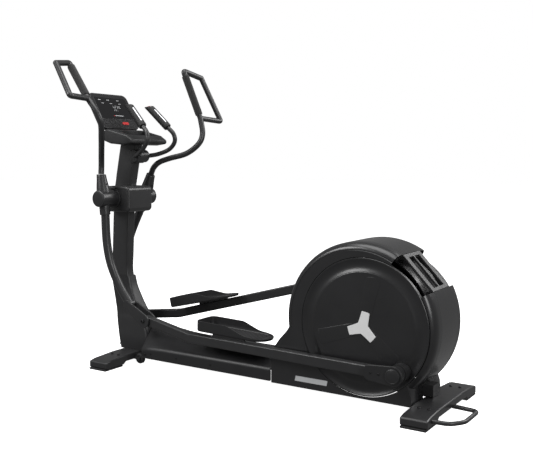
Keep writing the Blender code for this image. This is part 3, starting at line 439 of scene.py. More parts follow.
# Sizes, tones and stage that a user would change -----------------------------------
def length(name, text, value):
    return bpy.props.FloatProperty(name=name, description=text, default=value, min=0.0005,
                                   max=2.0, unit="LENGTH", precision=4)


def tone(name, text, value):
    return bpy.props.FloatVectorProperty(name=name, description=text, default=value, min=0, max=1,
                                         size=3, subtype="COLOR")


class TrainerSizes(bpy.types.PropertyGroup):
    handle_tube: length("Handle tube", "Radius of the moving handles' tube", 0.0165)
    arm_tube: length("Arm tube", "Radius of the swing arms' lower tube", 0.024)
    grip: length("Foam grip", "Radius of the foam on the moving handles", 0.0215)
    bar_tube: length("Fixed bar", "Radius of the fixed handlebar's tube", 0.0125)
    lift_tube: length("Lift handle", "Radius of the rear lift handle's tube", 0.010)
    screw: length("Screw head", "Radius of the larger screw heads", 0.0075)
    small_screw: length("Small screw head", "Radius of the smaller screw heads", 0.0045)
    edge: length("Steel edge", "Rounding of folded steel edges", 0.0025)


class TrainerTones(bpy.types.PropertyGroup):
    powder_coat: tone("Powder coat", "Satin paint of the steel", (0.022, 0.022, 0.023))
    moulding: tone("Moulding", "Grained plastic of the covers", (0.016, 0.016, 0.017))
    gloss: tone("Gloss moulding", "Polished plastic of the crown", (0.012, 0.012, 0.013))
    foam: tone("Foam", "Foam of the grips", (0.014, 0.014, 0.014))
    rubber: tone("Rubber", "Feet, wheels and treads", (0.014, 0.014, 0.015))
    plate: tone("Pale plate", "Trim plates on the crank discs", (0.80, 0.80, 0.80))
    accent: tone("Accent", "Stop key and grip buttons", (0.55, 0.03, 0.03))


class TrainerStage(bpy.types.PropertyGroup):
    camera_place: bpy.props.FloatVectorProperty(
        name="Camera place", description="Where the camera stands", size=3,
        default=(2.2186, -3.422, 1.161), subtype="TRANSLATION", unit="LENGTH")
    azimuth: bpy.props.FloatProperty(
        name="Azimuth", description="Turn of the view from the left side towards the rear",
        default=radians(32.9), subtype="ANGLE")
    elevation: bpy.props.FloatProperty(
        name="Elevation", description="How far the view looks down", default=radians(5.13),
        subtype="ANGLE")
    lens: bpy.props.FloatProperty(name="Lens", description="Focal length on a 36 mm sensor",
                                  default=53.33, unit="CAMERA")
    key_power: bpy.props.FloatProperty(name="Key light", description="Power of the main softbox",
                                       default=150.0, min=0, unit="POWER")
    floor_tone: tone("Floor", "Tone of the studio floor", (0.93, 0.93, 0.93))


# Screws --------------------------------------------------------------------------
def button_head(radius):
    """A domed screw head with a hexagon socket, standing on z = 0."""
    start_clean()
    bpy.ops.mesh.primitive_cylinder_add(vertices=24, radius=radius, depth=radius * 0.8,
                                        location=(0, 0, radius * 0.4))
    head = bpy.context.object
    bpy.ops.object.transform_apply(location=True, rotation=True, scale=True)
    soften(head, radius * 0.3, 3, 60)
    start_clean()
    bpy.ops.mesh.primitive_cylinder_add(vertices=6, radius=radius * 0.5, depth=radius,
                                        location=(0, 0, radius * 0.95))
    return carve(head, bpy.context.object)


def screws(name, body, radius, places):
    """Like screws at (place, outward direction) pairs, as one piece."""
    master = button_head(radius)
    copies = []
    for place, outward in places:
        only(master)
        bpy.ops.object.duplicate()
        screw = bpy.context.object
        turn = Vector(outward).to_track_quat("Z", "Y").to_matrix().to_4x4()
        screw.matrix_world = Matrix.Translation(place) @ turn
        bpy.ops.object.transform_apply(location=True, rotation=True, scale=True)
        copies.append(screw)
    bpy.data.objects.remove(master, do_unlink=True)
    return hand_over(joined(name, copies), "zinc_black", body, smooth=40)


# Pieces --------------------------------------------------------------------------
class PieceOperator:
    bl_options = {"REGISTER", "UNDO"}

    def execute(self, context):
        self.model(context.scene.trainer_sizes)
        return {"FINISHED"}


class TRAINER_OT_feet(PieceOperator, bpy.types.Operator):
    """Front and rear feet with rubber caps and bolts, and the rear lift handle"""
    bl_idname = "trainer.feet"
    bl_label = "Feet"

    def model(self, sizes):
        bolts = []
        for end in ("front", "rear"):
            low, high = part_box(end + "_foot")
            dressed(end + "_foot", end + "_foot_beam", "powder_coat", sizes.edge, 3)
            for side, s in SIDES:
                node = f"{end}_foot_cap_{side}"
                dressed(node, node + "_pad", "rubber", 0.002)
                half = high.y
                slope = atan2(0.008, half * 0.5 - 0.045)
                for share in (0.32, 0.68):
                    x = low.x + (high.x - low.x) * share
                    y = half * 0.62
                    z = high.z - (y - half * 0.5) * 0.008 / (half * 0.5 - 0.045)
                    bolts.append(((x, s * y, z - 0.0005), (0, s * sin(slope), cos(slope))))
        screws("foot_bolts", "frame", sizes.screw, bolts)
        low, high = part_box("rear_lift_handle")
        x, z = low.x, (low.z + high.z) / 2
        corners = ((x, -0.268, z), (x + 0.075, -0.262, z), (x + 0.122, -0.200, z),
                   (x + 0.122, -0.030, z), (x, -0.015, z))
        handle = bent_tube("lift_handle_tube", spread(rounded_corners(corners, 0.028)),
                           sizes.lift_tube)
        hand_over(handle, "powder_coat", "frame", ["rear_lift_handle"])


class TRAINER_OT_wheels(PieceOperator, bpy.types.Operator):
    """Transport wheels with grooved tyres, and their bracket"""
    bl_idname = "trainer.wheels"
    bl_label = "Transport wheels"

    def model(self, sizes):
        dressed("wheel_bracket", "wheel_fork_strip", "powder_coat", 0.0006)
        for side, _ in SIDES:
            low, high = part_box("transport_wheel_" + side)
            y, r, half = (low.y + high.y) / 2, (high.x - low.x) / 2, (high.y - low.y) / 2
            profile = [(0.0045, -half), (0.0045, half), (0.009, half), (0.010, half - 0.003),
                       (0.018, half - 0.003), (0.0195, half), (r - 0.003, half - 0.002)]
            for groove in (0.004, 0.0, -0.004):
                profile += [(r, groove + 0.0035), (r, groove + 0.0008), (r - 0.0018, groove),
                            (r, groove - 0.0008)]
            profile += [(r, -0.0075), (r - 0.003, 0.002 - half), (0.0195, -half),
                        (0.018, 0.003 - half), (0.010, 0.003 - half), (0.009, -half)]
            wheel = spun(f"tyre_{side}", WHEEL_X, WHEEL_Z, [(a, y + b) for a, b in profile], 48)
            hand_over(wheel, "rubber", side + "_wheel", ["transport_wheel_" + side])


MAST_LINE = ((-1.540, 0.1203), (-1.572, 0.190), (-1.597, 0.280), (-1.632, 0.400), (-1.655, 0.500),
             (-1.650, 0.620), (-1.632, 0.931), (-1.622, 1.000), (-1.589, 1.160), (-1.561, 1.290))
MAST_HALF_X, MAST_HALF_Y = 0.062, 0.030
RAIL_HALF_Y, RAIL_TOP_Z = 0.040, 0.120


def mast_sections(grow=0.0, steps=5):
    line = smooth_path([(AXLE_X + x, 0, z) for x, z in MAST_LINE], steps)
    return [[(px, py, p.z) for px, py in rounded_box(MAST_HALF_X + grow, MAST_HALF_Y + grow,
                                                     0.012 + grow, p.x, 0)] for p in line]


def rail_channel():
    half, top = RAIL_HALF_Y + 0.001, RAIL_TOP_Z + 0.001
    outline = ((-half, 0.0), (half, 0.0), (half, top), (-half, top))
    return across_x("channel", outline, AXLE_X - 1.7, AXLE_X + 0.5)


class TRAINER_OT_mast(PieceOperator, bpy.types.Operator):
    """Mast and the moulded boot round its foot"""
    bl_idname = "trainer.mast"
    bl_label = "Mast and boot"

    def model(self, sizes):
        hand_over(skin("mast_tube", mast_sections()), "powder_coat", "frame", ["mast"])
        # z, front x, rear x, half width
        stations = ((0.0625, -1.606, -1.3785, 0.092), (0.120, -1.622, -1.385, 0.088),
                    (0.180, -1.642, -1.405, 0.076), (0.230, -1.657, -1.450, 0.066),
                    (0.280, -1.670, -1.500, 0.056), (0.400, -1.706, -1.557, 0.042),
                    (0.473, -1.725, -1.5775, 0.039))
        front = smooth_path([(a, b, z) for z, a, b, _ in stations], 5)
        halves = smooth_path([(h, 0, z) for z, _, _, h in stations], 5)

        def boot(name, inset, reach):
            rings = []
            for i, (p, h) in enumerate(zip(front, halves)):
                middle, hx = (p.x + p.y) / 2, (p.y - p.x) / 2 - inset
                dz = reach * ((i == len(front) - 1) - (i == 0))
                rings.append([(x, y, p.z + dz) for x, y in
                              rounded_box(hx, h.x - inset, min(0.024, h.x - inset - 0.004),
                                          AXLE_X + middle, 0)])
            return skin(name, rings)

        shell = carve(boot("boot_shell", 0, 0), boot("inside", 0.003, 0.01), rail_channel())
        hand_over(shell, "black_plastic", "frame", ["mast_boot"])
        screws("boot_screws", "frame", sizes.small_screw,
               [((AXLE_X - 1.600, s * 0.0885, 0.085), (0, s, 0.05)) for _, s in SIDES])


COVER_STATIONS = ((-1.378, 0.095, 0.205, 0.080), (-1.290, 0.110, 0.188, 0.092),
                  (-1.080, 0.115, 0.168, 0.105), (-0.5005, 0.115, 0.165, 0.110))


class TRAINER_OT_base(PieceOperator, bpy.types.Operator):
    """Base rail, base covers with their screws, and a plain stripe on the left side"""
    bl_idname = "trainer.base"
    bl_label = "Base"

    def cover(self, s, name, inset, reach, floor):
        line = smooth_path([(x, z, r) for x, z, r, _ in COVER_STATIONS], 6)
        widths = smooth_path([(x, w, 0) for x, _, _, w in COVER_STATIONS], 6)
        rings = []
        for i, (p, w) in enumerate(zip(line, widths)):
            half = SIDE_Y - inset - 0.020 * max(0, 1 - i / 6) ** 2
            ring = [(s * 0.00015, floor), (s * half, floor), (s * half, p.y - inset / 2),
                    (s * (w.y - inset / 2), p.z - 0.010 - inset),
                    (s * (w.y - 0.025), p.z - inset), (s * 0.00015, p.z - inset)]
            dx = {0: 0.003, len(line) - 1: reach}.get(i, 0) if inset else 0
            rings.append([(AXLE_X + p.x + dx, y, z) for y, z in ring])
        return skin(name, rings)

    def model(self, sizes):
        dressed("base_rail", "base_beam", "powder_coat", 0.0012)
        places = []
        for side, s in SIDES:
            shell = soften(self.cover(s, "base_shell_" + side, 0, 0, COVER_BOTTOM_Z), 0.014, 5, 14)
            inner = self.cover(s, "inside", 0.004, 0.02, 0.02)
            for vert in inner.data.vertices:
                if abs(vert.co.y) < 0.001:
                    vert.co.y = -s * 0.01
            shell = carve(shell, inner, rail_channel())
            hand_over(shell, "black_plastic", "frame", ["base_cover_" + side])
            for x, z in ((-1.330, 0.076), (-1.290, 0.083), (-1.110, 0.083), (-0.880, 0.080)):
                places.append(((AXLE_X + x, s * 0.1805, z), (0, s, 0)))
        screws("cover_screws", "frame", sizes.small_screw, places)
        x, z = AXLE_X - 0.364, 0.078
        stripe = ((x, z), (x + 0.176, z), (x + 0.182, z + 0.025), (x + 0.006, z + 0.025))
        stripe = across_y("plain_stripe", stripe, -0.1816, -0.1809)
        hand_over(stripe, "lit_print", "frame")


class TRAINER_OT_pivot_housing(PieceOperator, bpy.types.Operator):
    """Moulded box round the swing arms' shaft"""
    bl_idname = "trainer.pivot_housing"
    bl_label = "Pivot housing"

    def model(self, sizes):
        low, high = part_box("pivot_housing")
        outline = rounded_box((high.x - low.x) / 2, (high.z - low.z) / 2, 0.026,
                              (high.x + low.x) / 2, (high.z + low.z) / 2, 8)
        box = soften(across_y("pivot_box", outline, low.y, high.y), 0.012, 4, 60)
        box = carve(box, skin("channel", mast_sections(GAP, 2)))
        hand_over(box, "powder_coat", "frame", ["pivot_housing"])


# Drive housing ---------------------------------------------------------------------
SEAM_X = AXLE_X - 0.500
HOUSING_X, HOUSING_Z, HOUSING_R = AXLE_X - 0.035, 0.390, 0.385
SIDE_Y, CROWN_Y, DISC_FACE_Y = 0.181, 0.100, 0.184
NOTCH, NOTCH_FLOOR_R = (radians(27), radians(60)), 0.338
COVER_BOTTOM_Z = 0.047


def housing_outline(inset=0.0, wall=0.0, floor=0.0):
    r = HOUSING_R - inset - wall
    round_part = arc(HOUSING_X, HOUSING_Z, r, 117, radians(-44), radians(232))
    before = round_part[-3]
    flare = smooth_path([(*before, 0), (*round_part[-1], 0), (SEAM_X + 0.058 + wall, 0.285, 0),
                         (SEAM_X + 0.024 + wall, 0.240, 0), (SEAM_X + wall, 0.222, 0)], 6)[7:]
    front = [(p.x, p.y) for p in flare] + [(SEAM_X + wall, COVER_BOTTOM_Z - floor)]
    rear = [(AXLE_X + 0.243 - wall, COVER_BOTTOM_Z - floor), (AXLE_X + 0.240 - wall, 0.090)]
    return round_part + front + rear


def housing_ring(y, inset=0.0, wall=0.0, floor=0.0):
    return [(x, y, z) for x, z in housing_outline(inset, wall, floor)]


def sector(name, r0, r1, start, end, half, count=17):
    inner = arc(HOUSING_X, HOUSING_Z, r0, count, start, end - start)
    outer = arc(HOUSING_X, HOUSING_Z, r1, count, start, end - start)
    return across_y(name, inner + outer[::-1], -half, half)


class TRAINER_OT_housing(PieceOperator, bpy.types.Operator):
    """Drive housing: side covers, crown and the slatted carry handle"""
    bl_idname = "trainer.housing"
    bl_label = "Drive housing"

    def model(self, sizes):
        levels = [(CROWN_Y + GAP, 0.0), (CROWN_Y + 0.0012, 0.0)]
        for i in range(9):
            t = i / 8 * pi / 2
            levels.append((0.128 + 0.0515 * sin(t), 0.0005 + 0.0315 * (1 - cos(t))))
        levels += [(0.1782, 0.0332), (0.1782, 0.0350), (SIDE_Y, 0.0372)]
        outer = skin("side_shell_left", [housing_ring(-y, inset) for y, inset in levels])
        inner_levels = ((0.080, 0.0), (0.150, 0.003), (0.169, 0.014), (SIDE_Y - 0.004, 0.034))
        inner = skin("inside", [housing_ring(-y, i, 0.005, 0.02) for y, i in inner_levels])
        hole = across_y("hole", arc(AXLE_X, AXLE_Z, 0.325, 128), -0.20, -0.16)
        left = carve(outer, inner, sector("notch", NOTCH_FLOOR_R, 0.45, *NOTCH, 0.3), hole)
        right = other_side(left, "side_shell_right")
        for side, shell in (("left", left), ("right", right)):
            hand_over(shell, "housing_plastic", "frame", ["drive_cover_" + side])
        crown = skin("crown_shell", [housing_ring(-CROWN_Y), housing_ring(CROWN_Y)])
        inner = skin("inside", [housing_ring(y, 0, 0.004, 0.02) for y in (-0.11, 0.11)])
        crown = carve(crown, inner, sector("notch", NOTCH_FLOOR_R, 0.45, *NOTCH, 0.3),
                      rail_channel())
        floor = sector("floor", NOTCH_FLOOR_R - 0.0045, NOTCH_FLOOR_R - 0.0005,
                       NOTCH[0] - 0.06, NOTCH[1] + 0.06, CROWN_Y)
        ends = [sector("end", NOTCH_FLOOR_R - 0.003, HOUSING_R - 0.001, a - 0.006, a + 0.006,
                       CROWN_Y, 3) for a in (NOTCH[0] - 0.055, NOTCH[1] + 0.055)]
        hand_over(fuse(crown, floor, *ends), "gloss_plastic", "frame", ["drive_crown"])
        dressed("carry_handle", "slatted_handle", "black_plastic", 0.0025, 3)


# One arm of the trim plate and the hollow after it: (radius, angle past the arm)
STAR_ARM = ((0.0767, -0.264), (0.0755, 0.0), (0.0767, 0.264), (0.052, 0.44), (0.038, 0.68),
            (0.030, pi / 3), (0.038, 1.414), (0.052, 1.654))


class TRAINER_OT_crank_discs(PieceOperator, bpy.types.Operator):
    """Crank discs with a dished rim and three embossed arms, crank arms and trim plates"""
    bl_idname = "trainer.crank_discs"
    bl_label = "Crank discs"

    def model(self, sizes):
        for side, s in SIDES:
            low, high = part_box("crank_disc_" + side)
            r, face = (high.z - low.z) / 2, DISC_FACE_Y
            px, pz = crank_pin(s)
            profile = [(0.014, face - 0.012), (0.014, face), (0.256, face), (0.2585, face - 0.0012)]
            for i in range(9):
                t = i / 8
                profile.append((0.2605 + 0.0535 * t, face - 0.0012 - 0.0072 * sin(pi * t) ** 0.8))
            profile += [(0.3165, face), (r - 0.0015, face), (r, face - 0.0015),
                        (r, face - 0.018), (0.262, face - 0.018)]
            disc = spun("disc_" + side, AXLE_X, AXLE_Z, [(a, s * y) for a, y in profile], 144)
            hole = across_y("hole", arc(px, pz, 0.0425, 48), *sorted((s * 0.15, s * 0.20)))
            hand_over(carve(disc, hole), "disc_plastic", "crank_set", ["crank_disc_" + side],
                      smooth=25)
            arms = []
            for i in range(3):
                a = crank_angle(s) + i * 2 * pi / 3
                reach = 0.208 if i == 0 else 0.232
                rings = []
                for y, inset in ((face - 0.001, 0.0), (face + 0.0004, 0.0), (face + 0.0018, 0.003)):
                    half0, half1 = 0.030 - inset, 0.037 - inset
                    corners = ((0.052, -half0), (reach - inset, -half1), (reach + 0.012 - inset, 0),
                               (reach - inset, half1), (0.052, half0))
                    rings.append([(AXLE_X + u * cos(a) - v * sin(a), s * y,
                                   AXLE_Z + u * sin(a) + v * cos(a)) for u, v in corners])
                arms.append(skin("rib", rings))
            hand_over(joined("disc_arms_" + side, arms), "disc_plastic", "crank_set")
            outline = []
            for i in range(3):
                a = crank_angle(s) + i * 2 * pi / 3
                outline += [(q, a + turn) for q, turn in STAR_ARM]
            rings = []
            for dy, shrink in ((0.0022, 1.0), (0.0040, 1.0), (0.0050, 0.975)):
                rings.append([(AXLE_X + shrink * q * cos(a), s * (face + dy),
                               AXLE_Z + shrink * q * sin(a)) for q, a in outline])
            hand_over(skin("star_plate_" + side, rings), "pale_plastic", "crank_set",
                      ["hub_plate_" + side])
            dressed("crank_arm_" + side, "crank_web_" + side, "powder_coat", 0.002,
                    body="crank_set")


# Swing arms: (x, |y|, z) round the hub, at the left arm's rest angle ------------------
HANDLE_LINE = ((-0.021, 0.173, 0.137), (-0.019, 0.172, 0.185), (-0.004, 0.186, 0.229),
               (0.031, 0.220, 0.273), (0.088, 0.276, 0.335), (0.119, 0.310, 0.415),
               (0.104, 0.328, 0.478), (0.047, 0.331, 0.548))
GRIP_TOP, LOOP_TOP = (-0.152, 0.273, 0.755), (-0.111, 0.406, 0.739)
LOOP_LOW = (0.081, 0.492, 0.552)
LOWER_LINE = ((0.000, 0.173, -0.030), (0.004, 0.172, -0.077), (0.007, 0.168, -0.237),
              (0.028, 0.162, -0.365), (0.080, 0.153, -0.485), (0.150, 0.145, -0.588))
BARREL_R, BARREL_INNER_Y, BARREL_OUTER_Y = 0.047, 0.1005, 0.224
BAR_WIDTH, BAR_Y_FRONT, BAR_Y_PIN = 0.042, 0.142, 0.250


def sided(points, s):
    return [(x, s * y, z) for x, y, z in points]


def on_arm(obj, s):
    return set_down(obj, HUB_X, HUB_Z, arm_turn(s))


def arm_pivot():
    x, z = front_pivot(-1)
    return x - HUB_X, z - HUB_Z


class TRAINER_OT_swing_arms(PieceOperator, bpy.types.Operator):
    """Swing arms: barrel, end cap, handle socket, lower tube and the fork at its foot"""
    bl_idname = "trainer.swing_arms"
    bl_label = "Swing arms"

    def model(self, sizes):
        for side, s in SIDES:
            body = side + "_arm"
            inner, outer, r = BARREL_INNER_Y, BARREL_OUTER_Y, BARREL_R
            profile = [(0.014, inner), (r + 0.008, inner), (r + 0.009, inner + 0.001),
                       (r + 0.009, inner + 0.007), (r + 0.008, inner + 0.008), (r, inner + 0.009),
                       (r, outer - 0.007), (r - 0.0006, outer - 0.004), (r - 0.0022, outer - 0.002),
                       (r - 0.005, outer - 0.0008), (r - 0.008, outer - 0.0004),
                       (0.014, outer - 0.0004)]
            barrel = spun("arm_barrel_" + side, 0, 0, [(a, s * y) for a, y in profile], 96)
            profile = [(0.0004, outer - 0.003), (0.036, outer - 0.003), (0.0385, outer - 0.0005),
                       (0.0378, outer + 0.0006), (0.034, outer + 0.0014), (0.02, outer + 0.0019),
                       (0.0004, outer + 0.002)]
            cap = spun("arm_cap_" + side, 0, 0, [(a, s * y) for a, y in profile], 64)
            root, above = (Vector(p) for p in sided(HANDLE_LINE[:2], s))
            along = (above - root).normalized()
            low = Vector((-0.006, s * 0.172, 0.030))
            high = root - along * 0.0016
            rings = []
            for t, radius in ((0.0, 0.0385), (0.12, 0.0378), (0.3, 0.0358), (0.6, 0.0312),
                              (0.86, 0.0272), (0.975, 0.0262), (1.0, 0.0245)):
                centre = low.lerp(high, t)
                rings.append([centre + Vector((radius * cos(a), radius * sin(a), 0))
                              for a in (i * pi / 20 for i in range(40))])
            socket = skin("arm_socket_" + side, rings)
            sleeve = bent_tube("sleeve", sided(((0.0, 0.173, -0.035), (0.0035, 0.172, -0.092)), s),
                               0.030, 8)
            soften(sleeve, 0.002, 2, 60)
            tube = bent_tube("arm_tube_" + side, smooth_path(sided(LOWER_LINE, s), 8),
                             sizes.arm_tube, 8)
            x, z = arm_pivot()
            half = BAR_WIDTH / 2
            yoke_x, yoke_z = LOWER_LINE[-1][0] + 0.004, LOWER_LINE[-1][2] - 0.004
            plates = []
            for off in (-half - 0.0055, half + 0.0055):
                y = s * BAR_Y_FRONT + off
                cheek = across_y("cheek", stadium(yoke_x, yoke_z, 0.024, x, z, 0.040),
                                 y - 0.005, y + 0.005)
                plates.append(soften(cheek, 0.0018, 3, 50))
            y0 = s * BAR_Y_FRONT
            knuckle = across_y("knuckle", arc(yoke_x, yoke_z, 0.0235, 40), y0 - half - 0.0095,
                               y0 + half + 0.0095)
            plates.append(soften(knuckle, 0.0015, 2, 50))
            for piece in (barrel, cap, socket, tube):
                on_arm(piece, s)
            fork = on_arm(joined("arm_fork_" + side, plates), s)
            on_arm(sleeve, s)
            barrel = joined("arm_barrel_" + side, [barrel, sleeve])
            hand_over(barrel, "powder_coat", body, ["arm_" + side])
            hand_over(cap, "black_plastic", body)
            hand_over(socket, "powder_coat", body)
            hand_over(tube, "powder_coat", body)
            hand_over(fork, "powder_coat", body)
            places = []
            turn = Matrix.Rotation(arm_turn(s), 4, "Y")
            hub = Vector((HUB_X, 0, HUB_Z))
            for outwards in (1, -1):
                y = s * BAR_Y_FRONT + outwards * s * (half + 0.0104)
                places.append((hub + turn @ Vector((x, y, z)), (0, s * outwards, 0)))
            screws("fork_pin_" + side, body, 0.011, places)
            point = Vector((-0.010 + 0.031, s * 0.172, 0.082))
            screws("socket_screw_" + side, body, sizes.small_screw,
                   [(hub + turn @ point, turn @ Vector((1, 0, 0.15)))])


class TRAINER_OT_handles(PieceOperator, bpy.types.Operator):
    """Moving handles: bent tube with its closed loop, and the foam grip"""
    bl_idname = "trainer.handles"
    bl_label = "Moving handles"

    def model(self, sizes):
        for side, s in SIDES:
            joint = HANDLE_LINE[-1]
            line = smooth_path(sided(HANDLE_LINE, s), 8)
            loop = spread(rounded_corners(sided((joint, GRIP_TOP, LOOP_TOP), s), 0.016, 6))
            tube = bent_tube("handle_tube_" + side, line[:-1] + loop, sizes.handle_tube)
            back = rounded_corners(sided((LOOP_TOP, LOOP_LOW, joint), s), 0.016, 6)
            back = bent_tube("back", spread(back), sizes.handle_tube * 0.96)
            corner = spun("corner", LOOP_TOP[0], LOOP_TOP[2],
                          [(max(u, 0) + 0.0001, s * LOOP_TOP[1] + v) for u, v in
                           arc(0, 0, sizes.handle_tube * 0.99, 13, -pi / 2, pi)], 24)
            handle = on_arm(joined("handle_tube_" + side, [tube, back, corner]), s)
            hand_over(handle, "powder_coat", side + "_arm", ["arm_handle_" + side])
            a, b = (Vector(p) for p in sided((joint, GRIP_TOP), s))
            u = Vector((0, 1, 0)).cross((b - a).normalized()).normalized()
            v = (b - a).normalized().cross(u)
            rings = []
            big, small = sizes.grip, sizes.handle_tube + 0.0004
            ends = ((0.0, small), (0.0, big * 0.94), (0.004, big * 0.99), (0.010, big))
            total = (b - a).length * 0.82
            stops = list(ends) + [(total * i / 8, big) for i in range(1, 8)]
            stops += [(total - d, r) for d, r in reversed(ends)]
            start = a.lerp(b, 0.075)
            way = (b - a).normalized()
            for d, r in stops:
                rings.append([start + way * d + u * (r * cos(t)) + v * (r * sin(t))
                              for t in (i * pi / 16 for i in range(32))])
            grip = on_arm(skin("foam_grip_" + side, rings), s)
            hand_over(grip, "grip_foam", side + "_arm", ["arm_grip_" + side], smooth=50)


# Pedal bars: origin on the front pivot, +X along the line to the crank pin ------------
BAR_LENGTH, BEND_BACK, BAR_DEPTH = 1.5455, 0.335, 0.050
BAR_Y_BEND = 0.172
FORK_REACH = 0.050                  # the bar runs straight inside the fork
BEAM_RISE = 0.035 / (BAR_LENGTH - 0.105 - BEND_BACK - 0.050)


def bar_y(x, s):
    if x <= BEND_BACK:
        t = max(x - FORK_REACH, 0) / (BEND_BACK - FORK_REACH)
        return s * (BAR_Y_FRONT + (BAR_Y_BEND - BAR_Y_FRONT) * t)
    t = (x - BEND_BACK) / (BAR_LENGTH - BEND_BACK)
    return s * (BAR_Y_BEND + (BAR_Y_PIN - BAR_Y_BEND) * t)


def bar_top(x):
    return -0.038 + BEAM_RISE * (x - BEND_BACK - 0.050) + BAR_DEPTH / 2


def on_bar(obj, s):
    return set_down(obj, *front_pivot(s), bar_turn(s))


class TRAINER_OT_pedal_bars(PieceOperator, bpy.types.Operator):
    """Pedal bars with their eyes and bosses, bearing covers and screws"""
    bl_idname = "trainer.pedal_bars"
    bl_label = "Pedal bars"

    def model(self, sizes):
        hx, hy = BAR_WIDTH / 2, BAR_DEPTH / 2
        rear = BAR_LENGTH - 0.045
        for side, s in SIDES:
            body = side + "_bar"
            knots = ((0.018, 0.0, -0.002), (0.050, 0.0, -0.005), (BEND_BACK - 0.05, 0, -0.0336),
                     (BEND_BACK, 0, -0.040), (BEND_BACK + 0.05, 0, -0.038),
                     (rear - 0.06, 0, -0.003), (rear, 0, 0.0), (BAR_LENGTH, 0, 0.0))
            line = rounded_corners([(x, bar_y(x if x > 0.02 else 0, s), z) for x, _, z in knots],
                                   0.012, 5)
            beam = skin("beam_" + side, sections_along(line, rounded_box(hy, hx, 0.006)))
            y0 = s * BAR_Y_FRONT
            eye = soften(across_y("eye", arc(0, 0, 0.026, 48), y0 - hx, y0 + hx), 0.0015, 2, 50)
            y1 = s * BAR_Y_PIN
            boss = soften(across_y("boss", arc(BAR_LENGTH, 0, 0.037, 64), y1 - hx, y1 + hx),
                          0.002, 2, 50)
            bar = on_bar(joined("beam_" + side, [beam, eye, boss]), s)
            hand_over(bar, "powder_coat", body, ["pedal_bar_" + side])
            y = s * (BAR_Y_PIN + hx + GAP)
            cover = across_y("bearing_cover_" + side,
                             stadium(BAR_LENGTH - 0.110, -0.002, 0.036, BAR_LENGTH, 0, 0.045, 40),
                             *sorted((y, y + s * 0.012)))
            soften(cover, 0.003, 4, 50)
            dome = [(0.0004, y + s * 0.009), (0.0345, y + s * 0.009), (0.0345, y + s * 0.0165),
                    (0.0338, y + s * 0.0185), (0.032, y + s * 0.0198), (0.029, y + s * 0.0206),
                    (0.0275, y + s * 0.0198), (0.0262, y + s * 0.0198), (0.0248, y + s * 0.0208),
                    (0.015, y + s * 0.0217), (0.0004, y + s * 0.022)]
            dome = spun("dome", BAR_LENGTH, 0, dome, 64)
            cover = on_bar(joined("bearing_cover_" + side, [cover, dome]), s)
            hand_over(cover, "black_plastic", body, ["bar_cap_" + side])
            turn = Matrix.Rotation(bar_turn(s), 4, "Y")
            fx, fz = front_pivot(s)
            places = [(Vector((fx, 0, fz)) + turn @ Vector((x, y + s * 0.0116, -0.0015)), (0, s, 0))
                      for x in (BAR_LENGTH - 0.108, BAR_LENGTH - 0.068)]
            screws("bearing_screws_" + side, body, 0.005, places)


PEDAL_X, PEDAL_Y, PEDAL_FLOOR_Z = (0.377, 0.807), (0.031, 0.191), 0.006
PEDAL_HIGH = 0.057


